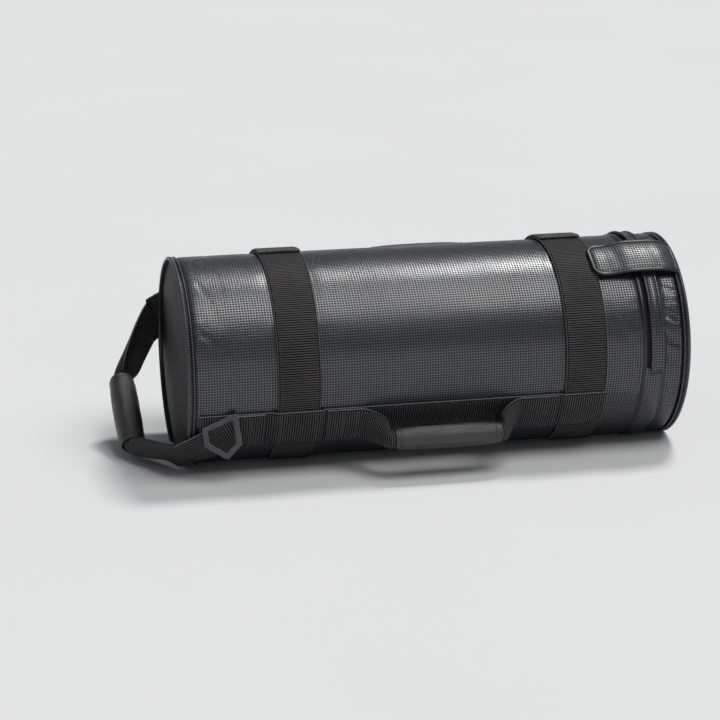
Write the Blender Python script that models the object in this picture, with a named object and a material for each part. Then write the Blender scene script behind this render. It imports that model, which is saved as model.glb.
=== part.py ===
# Sandbag trainer lying on its side.
# The bag runs along X, +Z is up and the origin is on the flat underside, halfway along the bag.
# Angles round the bag are counted from the top towards the front, which faces -Y.

import math

import bmesh
import bpy
from mathutils import Matrix, Vector

for old_object in list(bpy.data.objects):
    bpy.data.objects.remove(old_object, do_unlink=True)

# Driving dimensions of the bag, in metres
BAG_LENGTH = 0.600
BODY_RADIUS = 0.122
BAG_SETTLE = 0.0065
FLOOR_BLEND = 0.0025
SEAT_GAP = 0.0003
SKIN_THICKNESS = 0.0015
ROUND_SEGMENTS = 60
AXIS_HEIGHT = BODY_RADIUS - BAG_SETTLE
HALF_LENGTH = BAG_LENGTH / 2

# Webbing, shared by bands, straps and handles
WEBBING_WIDTH = 0.050
WEBBING_THICKNESS = 0.0023
WEBBING_RAMP = 0.0058
BAND_INSET = 0.128
BAND_CENTRE = HALF_LENGTH - BAND_INSET
STRAP_ANGLE = math.radians(118)
BACK_STRAP_ANGLE = STRAP_ANGLE + math.pi


# Mesh helpers

def make_material(name, colour, roughness, metallic=0.0):
    material = bpy.data.materials.new(name)
    material.use_nodes = True
    shader = material.node_tree.nodes["Principled BSDF"]
    shader.inputs["Base Color"].default_value = (*colour, 1.0)
    shader.inputs["Roughness"].default_value = roughness
    shader.inputs["Metallic"].default_value = metallic
    material.diffuse_color = (*colour, 1.0)
    return material


def make_object(name, bm, material, origin=None, sharp_angle=40):
    bmesh.ops.recalc_face_normals(bm, faces=bm.faces)
    mesh = bpy.data.meshes.new(name)
    bm.to_mesh(mesh)
    bm.free()
    if origin is not None:
        mesh.transform(Matrix.Translation(-Vector(origin)))
    mesh.shade_smooth()
    mesh.set_sharp_from_angle(angle=math.radians(sharp_angle))
    mesh.materials.append(material)
    piece = bpy.data.objects.new(name, mesh)
    if origin is not None:
        piece.location = origin
    bpy.context.collection.objects.link(piece)
    return piece


def bridge(bm, first, second, closed):
    count = len(first)
    for index in range(count if closed else count - 1):
        following = (index + 1) % count
        bm.faces.new((first[index], first[following], second[following], second[index]))


def add_rings(bm, rings, capped=True, looped=False):
    rows = [[bm.verts.new(point) for point in ring] for ring in rings]
    for first, second in zip(rows, rows[1:]):
        bridge(bm, first, second, closed=True)
    if looped:
        bridge(bm, rows[-1], rows[0], closed=True)
    elif capped:
        bm.faces.new(rows[0])
        bm.faces.new(rows[-1])


def rings_solid(rings, capped=True, looped=False):
    bm = bmesh.new()
    add_rings(bm, rings, capped, looped)
    return bm


def add_sheet(bm, outer, inner):
    """A closed sheet between two grids of points that have the same rows and columns."""
    top = [[bm.verts.new(point) for point in row] for row in outer]
    under = [[bm.verts.new(point) for point in row] for row in inner]
    for rows in (top, under):
        for first, second in zip(rows, rows[1:]):
            bridge(bm, first, second, closed=False)
    bridge(bm, top[0], under[0], closed=False)
    bridge(bm, top[-1], under[-1], closed=False)
    for column in (0, -1):
        bridge(bm, [row[column] for row in top], [row[column] for row in under], closed=False)


def sheet_solid(outer, inner):
    bm = bmesh.new()
    add_sheet(bm, outer, inner)
    return bm


def steps(start, end, count):
    return [start + (end - start) * index / count for index in range(count + 1)]


def smooth_share(share):
    share = min(max(share, 0.0), 1.0)
    return share * share * (3 - 2 * share)


# Places on and round the bag

def settled(height, floor):
    """The filled bag lies flat on the ground, with a soft turn up into its round side."""
    depth = height - floor
    if depth >= FLOOR_BLEND:
        return height
    if depth <= -FLOOR_BLEND:
        return floor
    return floor + (depth + FLOOR_BLEND) ** 2 / (4 * FLOOR_BLEND)


def bag_point(x, angle, radius, floor=0.0):
    height = AXIS_HEIGHT + radius * math.cos(angle)
    return Vector((x, -radius * math.sin(angle), settled(height, floor)))


def bag_ring(x, radius, floor=0.0, segments=ROUND_SEGMENTS):
    turn = 2 * math.pi / segments
    return [bag_point(x, turn * index, radius, floor) for index in range(segments)]


def strap_place(angle, x, across, out):
    """A point by its distance across a strap and its distance out from the bag's axis."""
    side = Vector((0.0, -math.cos(angle), -math.sin(angle)))
    away = Vector((0.0, -math.sin(angle), math.cos(angle)))
    return Vector((x, 0.0, AXIS_HEIGHT)) + across * side + out * away


# Body cover: an embossed skin in two lengths, with end discs sewn into raised seams
ZIP_INSET = 0.0455
ZIP_CENTRE = HALF_LENGTH - ZIP_INSET
ZIP_SLOT = 0.014
SEAM_WIDTH = 0.009
SEAM_RISE = 0.0008
SEAM_DEPTH = 0.0033
SEAM_OVERHANG = 0.001
EDGE_ROUNDING = 0.0085
EDGE_DROP = 0.0025
EDGE_SHARES = (0.0, 0.3, 1.0)
GROOVE_DEPTH = WEBBING_THICKNESS + SEAT_GAP
GROOVE_RUN = 0.004
WELT_RISE = 0.0014
WELT_WIDTH = 0.0065
WELT_CREST_SHARES = (0.25, 0.75)
PANEL_THICKNESS = 0.002
PANEL_RECESS = 0.0045
PANEL_CROWN = 0.004
PANEL_SHARES = (1.0, 0.75)
SEAM_OUTER_X = HALF_LENGTH + SEAM_OVERHANG
SEAM_INNER_X = SEAM_OUTER_X - SEAM_WIDTH
SLEEVE_LEFT = -(SEAM_INNER_X - SEAT_GAP)
SLEEVE_RIGHT = ZIP_CENTRE - ZIP_SLOT / 2
COLLAR_LEFT = ZIP_CENTRE + ZIP_SLOT / 2
COLLAR_RIGHT = SEAM_INNER_X - SEAT_GAP
SKIN_INNER = BODY_RADIUS - SKIN_THICKNESS
SKIN_FLOOR = GROOVE_DEPTH + SKIN_THICKNESS

cover_black = make_material("cover_black", (0.018, 0.018, 0.022), 0.42)
cover_plain = make_material("cover_plain", (0.012, 0.012, 0.015), 0.5)
piping_black = make_material("piping_black", (0.02, 0.02, 0.024), 0.48)


def rounded_edge(edge_x, inward):
    """Stations that turn the skin in towards a seam; inward is +1 where the skin lies to the right."""
    stations = []
    for share in EDGE_SHARES:
        drop = EDGE_DROP * (1 - math.sqrt(share * (2 - share)))
        stations.append((edge_x + inward * share * EDGE_ROUNDING, BODY_RADIUS - drop, 0.0))
    return stations


def band_groove(centre):
    """The band presses the settled underside in, and the skin bulges on both sides of it."""
    half = WEBBING_WIDTH / 2 + SEAT_GAP
    return [
        (centre - half - GROOVE_RUN, BODY_RADIUS, 0.0),
        (centre - half, BODY_RADIUS, GROOVE_DEPTH),
        (centre + half, BODY_RADIUS, GROOVE_DEPTH),
        (centre + half + GROOVE_RUN, BODY_RADIUS, 0.0),
    ]


def welt(edge_x, inward):
    """The turned and stitched edge along the zip stands up as a low ridge."""
    crest = BODY_RADIUS + WELT_RISE
    ridge = [(edge_x + inward * WELT_WIDTH * share, crest, 0.0) for share in WELT_CREST_SHARES]
    return [(edge_x, BODY_RADIUS, 0.0), *ridge, (edge_x + inward * WELT_WIDTH, BODY_RADIUS, 0.0)]


def skin_tube(name, outer_stations, material):
    """The skin follows its outer stations outside; inside it turns in only at a rounded end."""
    first_x, first_radius, _ = outer_stations[0]
    last_x, last_radius, _ = outer_stations[-1]
    inner_stations = [(last_x, last_radius - SKIN_THICKNESS)]
    if last_radius < BODY_RADIUS:
        inner_stations.append((last_x - EDGE_ROUNDING, SKIN_INNER))
    if first_radius < BODY_RADIUS:
        inner_stations.append((first_x + EDGE_ROUNDING, SKIN_INNER))
    inner_stations.append((first_x, first_radius - SKIN_THICKNESS))
    rings = [bag_ring(x, radius, floor) for x, radius, floor in outer_stations]
    rings += [bag_ring(x, radius, SKIN_FLOOR) for x, radius in inner_stations]
    return make_object(name, rings_solid(rings, looped=True), material)


def make_body_sleeve():
    stations = rounded_edge(SLEEVE_LEFT, 1)
    stations += band_groove(-BAND_CENTRE)
    stations += band_groove(BAND_CENTRE)
    stations += reversed(welt(SLEEVE_RIGHT, -1))
    skin_tube("body_sleeve", stations, cover_black)


def make_end_collar():
    stations = welt(COLLAR_LEFT, 1)
    stations += reversed(rounded_edge(COLLAR_RIGHT, -1))
    skin_tube("end_collar", stations, cover_black)


def make_end_panel(name, side):
    """A round end disc, lightly crowned by the filling behind it."""
    rim = BODY_RADIUS + SEAM_RISE - SEAM_DEPTH - SEAT_GAP
    face_x = SEAM_OUTER_X - PANEL_RECESS
    stations = []
    for share in PANEL_SHARES:
        stations.append((face_x + PANEL_CROWN * (1 - share * share), rim * share))
    floor = EDGE_DROP + SEAM_DEPTH
    rings = [bag_ring(side * (face_x - PANEL_THICKNESS), rim, floor)]
    rings += [bag_ring(side * x, radius, floor * radius / rim) for x, radius in stations]
    make_object(name, rings_solid(rings), cover_plain)


def make_seam_piping(name, side):
    """The sewn edges of skin and disc stand up together as a raised, stitched lip."""
    outer_radius = BODY_RADIUS + SEAM_RISE
    inner_radius = outer_radius - SEAM_DEPTH
    bevel = SEAM_DEPTH / 2
    section = [
        (SEAM_INNER_X, inner_radius, SEAM_DEPTH),
        (SEAM_INNER_X, outer_radius, 0.0),
        (SEAM_OUTER_X - bevel, outer_radius, 0.0),
        (SEAM_OUTER_X, outer_radius - bevel, bevel),
        (SEAM_OUTER_X, inner_radius, SEAM_DEPTH),
    ]
    rings = [bag_ring(side * x, radius, floor) for x, radius, floor in section]
    make_object(name, rings_solid(rings, looped=True), piping_black)


make_body_sleeve()
make_end_collar()
make_end_panel("left_end_panel", -1)
make_end_panel("right_end_panel", 1)
make_seam_piping("left_seam_piping", -1)
make_seam_piping("right_seam_piping", 1)

# Filling: foam that rounds the cover out, and fabric pouches of sand inside it
FOAM_THICKNESS = 0.004
FOAM_ZIP_MARGIN = 0.0225
FOAM_RIGHT = ZIP_CENTRE - FOAM_ZIP_MARGIN
FOAM_DISC_THICKNESS = 0.010
POUCH_COUNT = 3
POUCH_GAP = 0.0006
POUCH_ROUNDING = 0.022
POUCH_END_SHARE = 0.15
FILL_SEGMENTS = ROUND_SEGMENTS // 2
FOAM_OUTER = SKIN_INNER - SEAT_GAP * 2
DISC_RADIUS = SKIN_INNER - EDGE_DROP - SEAT_GAP
FOAM_FLOOR = SKIN_FLOOR + SEAT_GAP
FOAM_INNER = FOAM_OUTER - FOAM_THICKNESS
DISC_OUTER_X = SEAM_OUTER_X - PANEL_RECESS - PANEL_THICKNESS - SEAT_GAP
DISC_INNER_X = DISC_OUTER_X - FOAM_DISC_THICKNESS

foam_grey = make_material("foam_grey", (0.25, 0.25, 0.26), 0.9)
pouch_grey = make_material("pouch_grey", (0.12, 0.12, 0.13), 0.8)


def make_foam_lining():
    left = -(DISC_INNER_X - SEAT_GAP)
    ends = [(left, FOAM_OUTER, FOAM_FLOOR), (FOAM_RIGHT, FOAM_OUTER, FOAM_FLOOR)]
    ends += [(FOAM_RIGHT, FOAM_INNER, FOAM_FLOOR + FOAM_THICKNESS), (left, FOAM_INNER, FOAM_FLOOR + FOAM_THICKNESS)]
    rings = [bag_ring(x, radius, floor, FILL_SEGMENTS) for x, radius, floor in ends]
    make_object("foam_lining", rings_solid(rings, looped=True), foam_grey)


def make_foam_disc(name, side):
    floor = FOAM_FLOOR + SEAM_DEPTH
    rings = [bag_ring(side * x, DISC_RADIUS, floor, FILL_SEGMENTS) for x in (DISC_INNER_X, DISC_OUTER_X)]
    make_object(name, rings_solid(rings), foam_grey)


def pouch_end(x, inward):
    """Position and drop of two stations that round a pouch's end; inward is +1 at its left end."""
    stations = []
    for share in (POUCH_END_SHARE, 1.0):
        drop = POUCH_ROUNDING * (1 - math.sqrt(share * (2 - share)))
        stations.append((x + inward * POUCH_ROUNDING * (share - POUCH_END_SHARE), drop))
    return stations


def make_sand_pouches():
    """Short pouches packed end to end, each with soft, rounded ends."""
    radius = FOAM_INNER - SEAT_GAP * 2
    floor = FOAM_FLOOR + FOAM_THICKNESS + SEAT_GAP
    left = -(DISC_INNER_X - POUCH_GAP)
    pitch = (DISC_INNER_X * 2 - POUCH_GAP) / POUCH_COUNT
    for index in range(POUCH_COUNT):
        start = left + pitch * index
        end = start + pitch - POUCH_GAP
        stations = pouch_end(start, 1) + pouch_end(end, -1)[::-1]
        rings = [bag_ring(x, radius - drop, floor + drop, FILL_SEGMENTS) for x, drop in stations]
        make_object("sand_pouch_%d" % (index + 1), rings_solid(rings), pouch_grey)


make_foam_lining()
make_foam_disc("left_foam_disc", -1)
make_foam_disc("right_foam_disc", 1)
make_sand_pouches()

# Girth bands: one length of webbing each, overlapped behind the top and ended in a folded lip
BAND_START_STEPS = -6
BAND_LIP_ANGLE = math.radians(2)
BAND_LIP_ARC = math.radians(5.6)
LAP_LEAD_STEPS = 2
LAP_RAMP_STEPS = 1.6
BAND_STEP_ANGLE = 2 * math.pi / ROUND_SEGMENTS
BAND_START_ANGLE = BAND_STEP_ANGLE * BAND_START_STEPS
LIP_LAYERS = 1.3
BAND_INNER = BODY_RADIUS + SEAT_GAP
BAND_OUTER = BAND_INNER + WEBBING_THICKNESS

webbing_black = make_material("webbing_black", (0.030, 0.029, 0.031), 0.85)


def band_stations():
    """Angle, inner radius and thickness along the webbing, from its covered start to its lip."""
    full_turn = 2 * math.pi
    lap_start = BAND_START_ANGLE + full_turn - BAND_STEP_ANGLE * LAP_LEAD_STEPS
    turns = round((lap_start - BAND_START_ANGLE) / BAND_STEP_ANGLE)
    stations = [(angle, BAND_INNER, WEBBING_THICKNESS) for angle in steps(BAND_START_ANGLE, lap_start, turns)]
    lap_radius = BAND_OUTER + SEAT_GAP
    stations.append((lap_start + BAND_STEP_ANGLE * LAP_RAMP_STEPS, lap_radius, WEBBING_THICKNESS))
    for index in range(BAND_START_STEPS + 1, 0):
        stations.append((full_turn + BAND_STEP_ANGLE * index, lap_radius, WEBBING_THICKNESS))
    lip_end = full_turn + BAND_LIP_ANGLE
    for angle in (lip_end - BAND_LIP_ARC, lip_end):
        stations.append((angle, lap_radius, WEBBING_THICKNESS * LIP_LAYERS))
    return stations


def make_band(name, centre):
    outer = []
    inner = []
    for angle, radius, thickness in band_stations():
        sides = (centre - WEBBING_WIDTH / 2, centre + WEBBING_WIDTH / 2)
        outer.append([bag_point(x, angle, radius + thickness, 0.0) for x in sides])
        inner.append([bag_point(x, angle, radius, thickness) for x in sides])
    make_object(name, sheet_solid(outer, inner), webbing_black)


make_band("left_girth_band", -BAND_CENTRE)
make_band("right_girth_band", BAND_CENTRE)

# Carrying straps: webbing along the bag, over both bands, in front and diametrically behind
STRAP_INSET = 0.012
STRAP_LEFT = STRAP_INSET - HALF_LENGTH
STRAP_SEGMENTS = 6
STRAP_RIGHT = BAND_CENTRE + WEBBING_WIDTH / 2
STRAP_INNER = BODY_RADIUS + SEAT_GAP
STRAP_LIFTED = BAND_OUTER + SEAT_GAP
STRAP_OUTER = STRAP_INNER + WEBBING_THICKNESS


def strap_stations():
    half = WEBBING_WIDTH / 2 + SEAT_GAP * 2
    return [
        (STRAP_LEFT, STRAP_INNER),
        (-BAND_CENTRE - half - WEBBING_RAMP, STRAP_INNER),
        (-BAND_CENTRE - half, STRAP_LIFTED),
        (-BAND_CENTRE + half, STRAP_LIFTED),
        (-BAND_CENTRE + half + WEBBING_RAMP, STRAP_INNER),
        (BAND_CENTRE - half - WEBBING_RAMP, STRAP_INNER),
        (BAND_CENTRE - half, STRAP_LIFTED),
        (STRAP_RIGHT, STRAP_LIFTED),
    ]


def make_strap(name, angle):
    half_arc = WEBBING_WIDTH / 2 / BODY_RADIUS
    turns = steps(angle - half_arc, angle + half_arc, STRAP_SEGMENTS)
    outer = []
    inner = []
    for x, radius in strap_stations():
        outer.append([bag_point(x, turn, radius + WEBBING_THICKNESS) for turn in turns])
        inner.append([bag_point(x, turn, radius) for turn in turns])
    make_object(name, sheet_solid(outer, inner), webbing_black)


make_strap("front_strap", STRAP_ANGLE)
make_strap("back_strap", BACK_STRAP_ANGLE)

# Side handles: webbing that rises from the strap, curls round a core and is wrapped as a padded grip
FRONT_HANDLE_CENTRE = -0.003
BACK_HANDLE_CENTRE = 0.032
HANDLE_SPAN = 0.196
HANDLE_STANDOFF = 0.036
FRONT_HANDLE_LEAN = math.radians(-14)
BACK_HANDLE_LEAN = math.radians(4)
GRIP_LENGTH = 0.126
GRIP_RADIUS = 0.0142
GRIP_END_DROP = 0.0018
GRIP_SHARES = (-1.0, -0.93, -0.5, 0.0, 0.5, 0.93, 1.0)
CORE_RADIUS = 0.0075
GRIP_SEGMENTS = 18
WEB_SEGMENTS = 8
LEG_STEPS = 6
LEG_LEAD = 0.003
CURL_POWER = 1.5
WRAP_PLAY = 0.0008
BORE_PLAY = 0.0005
TAIL_MARGIN = 0.0015
WRAP_RADIUS = CORE_RADIUS + WRAP_PLAY + WEBBING_THICKNESS / 2
GRIP_BORE = WRAP_RADIUS + WEBBING_THICKNESS / 2 + BORE_PLAY
HANDLE_FLAT_OUT = STRAP_OUTER + SEAT_GAP + WEBBING_THICKNESS / 2
CORE_INSET = 0.006

grip_black = make_material("grip_black", (0.035, 0.034, 0.037), 0.5)
core_grey = make_material("core_grey", (0.08, 0.08, 0.085), 0.7)


def curled_section(middle, across, out, curvature, thickness):
    """Points on both faces of a strip whose width curls away from the out direction."""
    outer = []
    inner = []
    for width in steps(-WEBBING_WIDTH / 2, WEBBING_WIDTH / 2, WEB_SEGMENTS):
        turn = width * curvature
        offset = across * (math.sin(turn) / curvature) - out * ((1 - math.cos(turn)) / curvature)
        normal = out * math.cos(turn) + across * math.sin(turn)
        outer.append(middle + offset + normal * (thickness / 2))
        inner.append(middle + offset - normal * (thickness / 2))
    return outer, inner


def handle_place(angle, lean, x, lift):
    """A point on the plane in which a handle stands, leaning to one side of its strap."""
    return strap_place(angle, x, lift * math.sin(lean), HANDLE_FLAT_OUT + lift * math.cos(lean))


def handle_axes(angle, lean):
    """Directions out from the strap and across it, for a handle with this lean."""
    foot = strap_place(angle, 0.0, 0.0, 0.0)
    away = strap_place(angle, 0.0, math.sin(lean), math.cos(lean)) - foot
    side = strap_place(angle, 0.0, math.cos(lean), -math.sin(lean)) - foot
    return away, side


def handle_path(centre):
    """Distance along the bag, share of the full lift and curl, from one tail end to the other."""
    flat_curl = 1 / HANDLE_FLAT_OUT
    leg_run = (HANDLE_SPAN - GRIP_LENGTH) / 2 - LEG_LEAD
    tail_end = BAND_CENTRE - WEBBING_WIDTH / 2 - WEBBING_RAMP - SEAT_GAP * 2 - TAIL_MARGIN
    leg = []
    for share in steps(0.0, 1.0, LEG_STEPS):
        curl = flat_curl + (1 / WRAP_RADIUS - flat_curl) * share ** CURL_POWER
        leg.append((share * leg_run, smooth_share(share), curl))
    leg.append((leg_run + LEG_LEAD, 1.0, 1 / WRAP_RADIUS))
    left_root = centre - HANDLE_SPAN / 2
    right_root = centre + HANDLE_SPAN / 2
    path = [(-tail_end, 0.0, flat_curl)]
    path += [(left_root + run, rise, curl) for run, rise, curl in leg]
    path += [(right_root - run, rise, curl) for run, rise, curl in reversed(leg)]
    path.append((tail_end, 0.0, flat_curl))
    return path


def make_handle_web(name, angle, lean, centre):
    path = handle_path(centre)
    full_lift = HANDLE_STANDOFF + WRAP_RADIUS
    middles = [handle_place(angle, lean, x, full_lift * rise) for x, rise, _ in path]
    outer = []
    inner = []
    for index, (_, rise, curl) in enumerate(path):
        away, side = handle_axes(angle, lean * rise)
        before = middles[max(index - 1, 0)]
        after = middles[min(index + 1, len(path) - 1)]
        normal = (after - before).normalized().cross(side)
        if normal.dot(away) < 0:
            normal = -normal
        normal = normal.lerp(away, min(1.0, curl * WRAP_RADIUS) ** CURL_POWER).normalized()
        top, under = curled_section(middles[index], side, normal, curl, WEBBING_THICKNESS)
        outer.append(top)
        inner.append(under)
    make_object(name, sheet_solid(outer, inner), webbing_black, origin=strap_place(angle, 0.0, 0.0, STRAP_OUTER))


def round_ring(centre, radius, first, second, segments):
    turn = 2 * math.pi / segments
    return [centre + (first * math.cos(turn * k) + second * math.sin(turn * k)) * radius for k in range(segments)]


def grip_rings(centre, direction, first, second, length, full_radius):
    """A padded sleeve, fullest in the middle and drawn in where it is bound at both ends."""
    half = length / 2
    rings = []
    for share in GRIP_SHARES:
        radius = full_radius - GRIP_END_DROP * (1 - math.sqrt(1 - share * share))
        rings.append(round_ring(centre + direction * (half * share), radius, first, second, GRIP_SEGMENTS))
    for share in (1.0, -1.0):
        rings.append(round_ring(centre + direction * (half * share), GRIP_BORE, first, second, GRIP_SEGMENTS))
    return rings


def make_grip(prefix, centre, axes, length, full_radius, origin):
    rings = grip_rings(centre, *axes, length, full_radius)
    make_object(prefix + "_grip", rings_solid(rings, looped=True), grip_black, origin)
    direction, first, second = axes
    half = length / 2 - CORE_INSET
    ends = [round_ring(centre + direction * (half * sign), CORE_RADIUS, first, second, GRIP_SEGMENTS) for sign in (-1, 1)]
    make_object(prefix + "_grip_core", rings_solid(ends), core_grey, origin)


def make_side_handle(prefix, angle, lean, centre):
    make_handle_web(prefix + "_web", angle, lean, centre)
    away, side = handle_axes(angle, lean)
    grip_centre = handle_place(angle, lean, centre, HANDLE_STANDOFF)
    pivot = strap_place(angle, 0.0, 0.0, STRAP_OUTER)
    make_grip(prefix, grip_centre, (Vector((1.0, 0.0, 0.0)), away, side), GRIP_LENGTH, GRIP_RADIUS, pivot)


make_side_handle("front_handle", STRAP_ANGLE, FRONT_HANDLE_LEAN, FRONT_HANDLE_CENTRE)
make_side_handle("back_handle", BACK_STRAP_ANGLE, BACK_HANDLE_LEAN, BACK_HANDLE_CENTRE)

# End handle: a webbing loop sewn to both straps that droops over the left end
END_TAIL_MARGIN = 0.0145
END_BEND_INSET = 0.060
END_REACH = 0.052
END_RIM_DROP = 0.035
END_DROP_POWER = 1.2
END_GRIP_DROP = 0.081
END_GRIP_LENGTH = 0.110
END_GRIP_RADIUS = 0.0166
END_DRAPE_LIFT = 0.0005
END_DRAPE_STEPS = 5
END_LEG_STEPS = 7
DRAPE_LIFT_RATE = 3
PLAN_LIMIT_SHARE = 0.15
LEG_PULL_SHARES = (0.2, 0.45)
RIM_CLEARANCE = 0.004
END_TAIL_X = -(BAND_CENTRE + WEBBING_WIDTH / 2 + END_TAIL_MARGIN)
END_BEND_X = END_BEND_INSET - HALF_LENGTH
END_GRIP_X = -(HALF_LENGTH + END_REACH)
END_OUT = STRAP_OUTER + SEAT_GAP + WEBBING_THICKNESS / 2

END_ACROSS = strap_place(STRAP_ANGLE, 0.0, -1.0, 0.0) - strap_place(STRAP_ANGLE, 0.0, 0.0, 0.0)
END_SPREAD = strap_place(STRAP_ANGLE, 0.0, 0.0, 1.0) - strap_place(STRAP_ANGLE, 0.0, 0.0, 0.0)
LEFTWARD = Vector((-1.0, 0.0, 0.0))


def end_place(x, rise, spread):
    """A point by its rise across the straps' plane and its distance out towards the front strap."""
    return Vector((x, 0.0, AXIS_HEIGHT)) + END_ACROSS * rise + END_SPREAD * spread


def end_leg_path():
    """Middle line of one leg, from its sewn tail over the round side and the rim to the grip."""
    points = [end_place(END_TAIL_X, 0.0, END_OUT)]
    for x in steps(END_BEND_X, -HALF_LENGTH - SEAM_OVERHANG, END_DRAPE_STEPS):
        share = (x - END_BEND_X) / (-HALF_LENGTH - END_BEND_X)
        rise = -END_RIM_DROP * share ** END_DROP_POWER
        out = END_OUT + END_DRAPE_LIFT * smooth_share(share * DRAPE_LIFT_RATE)
        points.append(end_place(x, rise, math.sqrt(out * out - rise * rise)))
    start = points[-1]
    leave = (points[-1] - points[-2]).normalized()
    end = end_place(END_GRIP_X, -END_GRIP_DROP, END_GRIP_LENGTH / 2)
    reach = (end - start).length
    leave = leave * reach * LEG_PULL_SHARES[0]
    arrive = -END_SPREAD * reach * LEG_PULL_SHARES[1]
    for share in steps(0.0, 1.0, END_LEG_STEPS)[1:]:
        points.append(hermite(start, end, leave, arrive, share))
    return points


def hermite(start, end, leave, arrive, share):
    square = share * share
    cube = square * share
    place = start * (2 * cube - 3 * square + 1) + leave * (cube - 2 * square + share)
    return place + end * (3 * square - 2 * cube) + arrive * (cube - square)


def end_leg_sections():
    """Both faces of one leg: draped on the bag's round side, then curling in towards the grip."""
    points = end_leg_path()
    last = len(points) - 1
    outer = []
    inner = []
    for index, point in enumerate(points):
        tangent = (points[min(index + 1, last)] - points[max(index - 1, 0)]).normalized()
        if index == last:
            tangent = -END_SPREAD
        plan = tangent - END_SPREAD * tangent.dot(END_SPREAD)
        if plan.length > PLAN_LIMIT_SHARE:
            widthways = END_SPREAD.cross(plan).normalized()
        if widthways.dot(END_ACROSS) < 0:
            widthways = -widthways
        if index <= END_DRAPE_STEPS + 1:
            top, under = draped_section(point, widthways)
        else:
            share = ((index - END_DRAPE_STEPS - 1) / END_LEG_STEPS) ** CURL_POWER
            curl = 1 / END_OUT + (1 / WRAP_RADIUS - 1 / END_OUT) * share
            normal = tangent.cross(widthways)
            if normal.dot(END_SPREAD + LEFTWARD) < 0:
                normal = -normal
            middle = point + normal * (WRAP_RADIUS * share)
            top, under = curled_section(middle, widthways, normal, curl, WEBBING_THICKNESS)
            top = [clear_of_rim(place, END_OUT + WEBBING_THICKNESS / 2) for place in top]
            under = [clear_of_rim(place, END_OUT - WEBBING_THICKNESS / 2) for place in under]
        outer.append(top)
        inner.append(under)
    return outer, inner


def clear_of_rim(point, radius):
    """Keeps the bending leg outside the rim: out from the side, then outside a cone at the rim."""
    local = point - Vector((0.0, 0.0, AXIS_HEIGHT))
    rise = local.dot(END_ACROSS)
    spread = local.dot(END_SPREAD)
    past = max(0.0, -point.x - SEAM_OUTER_X - RIM_CLEARANCE)
    out = math.hypot(rise, spread)
    least = radius + END_DRAPE_LIFT - past
    if out >= least:
        return point
    return end_place(point.x, rise, math.sqrt(max(least * least - rise * rise, spread * spread)))


def draped_section(point, widthways):
    """Points across the webbing where it lies on the bag's round side."""
    centre = Vector((0.0, 0.0, AXIS_HEIGHT))
    local = point - centre
    out = math.hypot(local.dot(END_ACROSS), local.dot(END_SPREAD))
    faces = ([], [])
    for width in steps(-WEBBING_WIDTH / 2, WEBBING_WIDTH / 2, WEB_SEGMENTS):
        place = local + widthways * width
        rise = place.dot(END_ACROSS)
        for face, radius in zip(faces, (out + WEBBING_THICKNESS / 2, out - WEBBING_THICKNESS / 2)):
            face.append(end_place(place.x, rise, math.sqrt(radius * radius - rise * rise)))
    return faces


def mirrored(point):
    centre = Vector((0.0, 0.0, AXIS_HEIGHT))
    return point - END_SPREAD * (2 * (point - centre).dot(END_SPREAD))


def end_web_sections():
    outer, inner = end_leg_sections()
    far_outer = [[mirrored(point) for point in row] for row in reversed(outer)]
    far_inner = [[mirrored(point) for point in row] for row in reversed(inner)]
    return outer + far_outer, inner + far_inner


END_PIVOT = end_place(END_BEND_X, 0.0, 0.0)
END_GRIP_CENTRE = end_place(END_GRIP_X, -END_GRIP_DROP, 0.0)


def make_end_handle():
    outer, inner = end_web_sections()
    make_object("end_handle_web", sheet_solid(outer, inner), webbing_black, origin=END_PIVOT)
    axes = (END_SPREAD, LEFTWARD, END_ACROSS)
    make_grip("end_handle", END_GRIP_CENTRE, axes, END_GRIP_LENGTH, END_GRIP_RADIUS, END_PIVOT)


make_end_handle()

# Anchor loop: a flat ring of narrow tape sewn under the upper edge of the end handle's root
LOOP_TAPE_WIDTH = 0.006
LOOP_TAPE_THICKNESS = 0.0022
LOOP_WIDTH = 0.045
LOOP_DROP = 0.057
LOOP_INSET = 0.035
LOOP_CENTRE_X = LOOP_INSET - HALF_LENGTH
LOOP_OUTER_CORNER = 0.003
LOOP_INNER_CORNER = 0.0015
LOOP_CORNER_STEPS = 3
LOOP_RISE = 0.0075
LOOP_STANDOFF = 0.0018
LOOP_ANGLE = math.radians(111.7)
LOOP_TURN = math.radians(10.5)
LOOP_OUTLINE_SHARES = ((-0.45, -0.165), (0.45, 0.165), (0.57, -0.50), (0.2, -0.83), (-0.38, -0.55))
LOOP_SEAT_OUT = END_OUT + WEBBING_THICKNESS / 2 + END_DRAPE_LIFT


def corner_directions(corners):
    """Each corner of a closed outline, with the directions to its neighbours."""
    count = len(corners)
    for index, corner in enumerate(corners):
        before = (corners[index - 1] - corner).normalized()
        after = (corners[(index + 1) % count] - corner).normalized()
        yield corner, before, after


def inset_corners(corners, inset):
    result = []
    for corner, before, after in corner_directions(corners):
        depth = inset / math.sin(before.angle(after) / 2)
        result.append(corner + (before + after).normalized() * depth)
    return result


def rounded_outline(corners, radius, turns):
    """Points round a closed outline whose corners are arcs."""
    result = []
    for corner, before, after in corner_directions(corners):
        half = before.angle(after) / 2
        centre = corner + (before + after).normalized() * (radius / math.sin(half))
        start = (corner + before * (radius / math.tan(half)) - centre).normalized()
        end = (corner + after * (radius / math.tan(half)) - centre).normalized()
        result += [centre + start.slerp(end, share) * radius for share in steps(0.0, 1.0, turns)]
    return result


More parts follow.
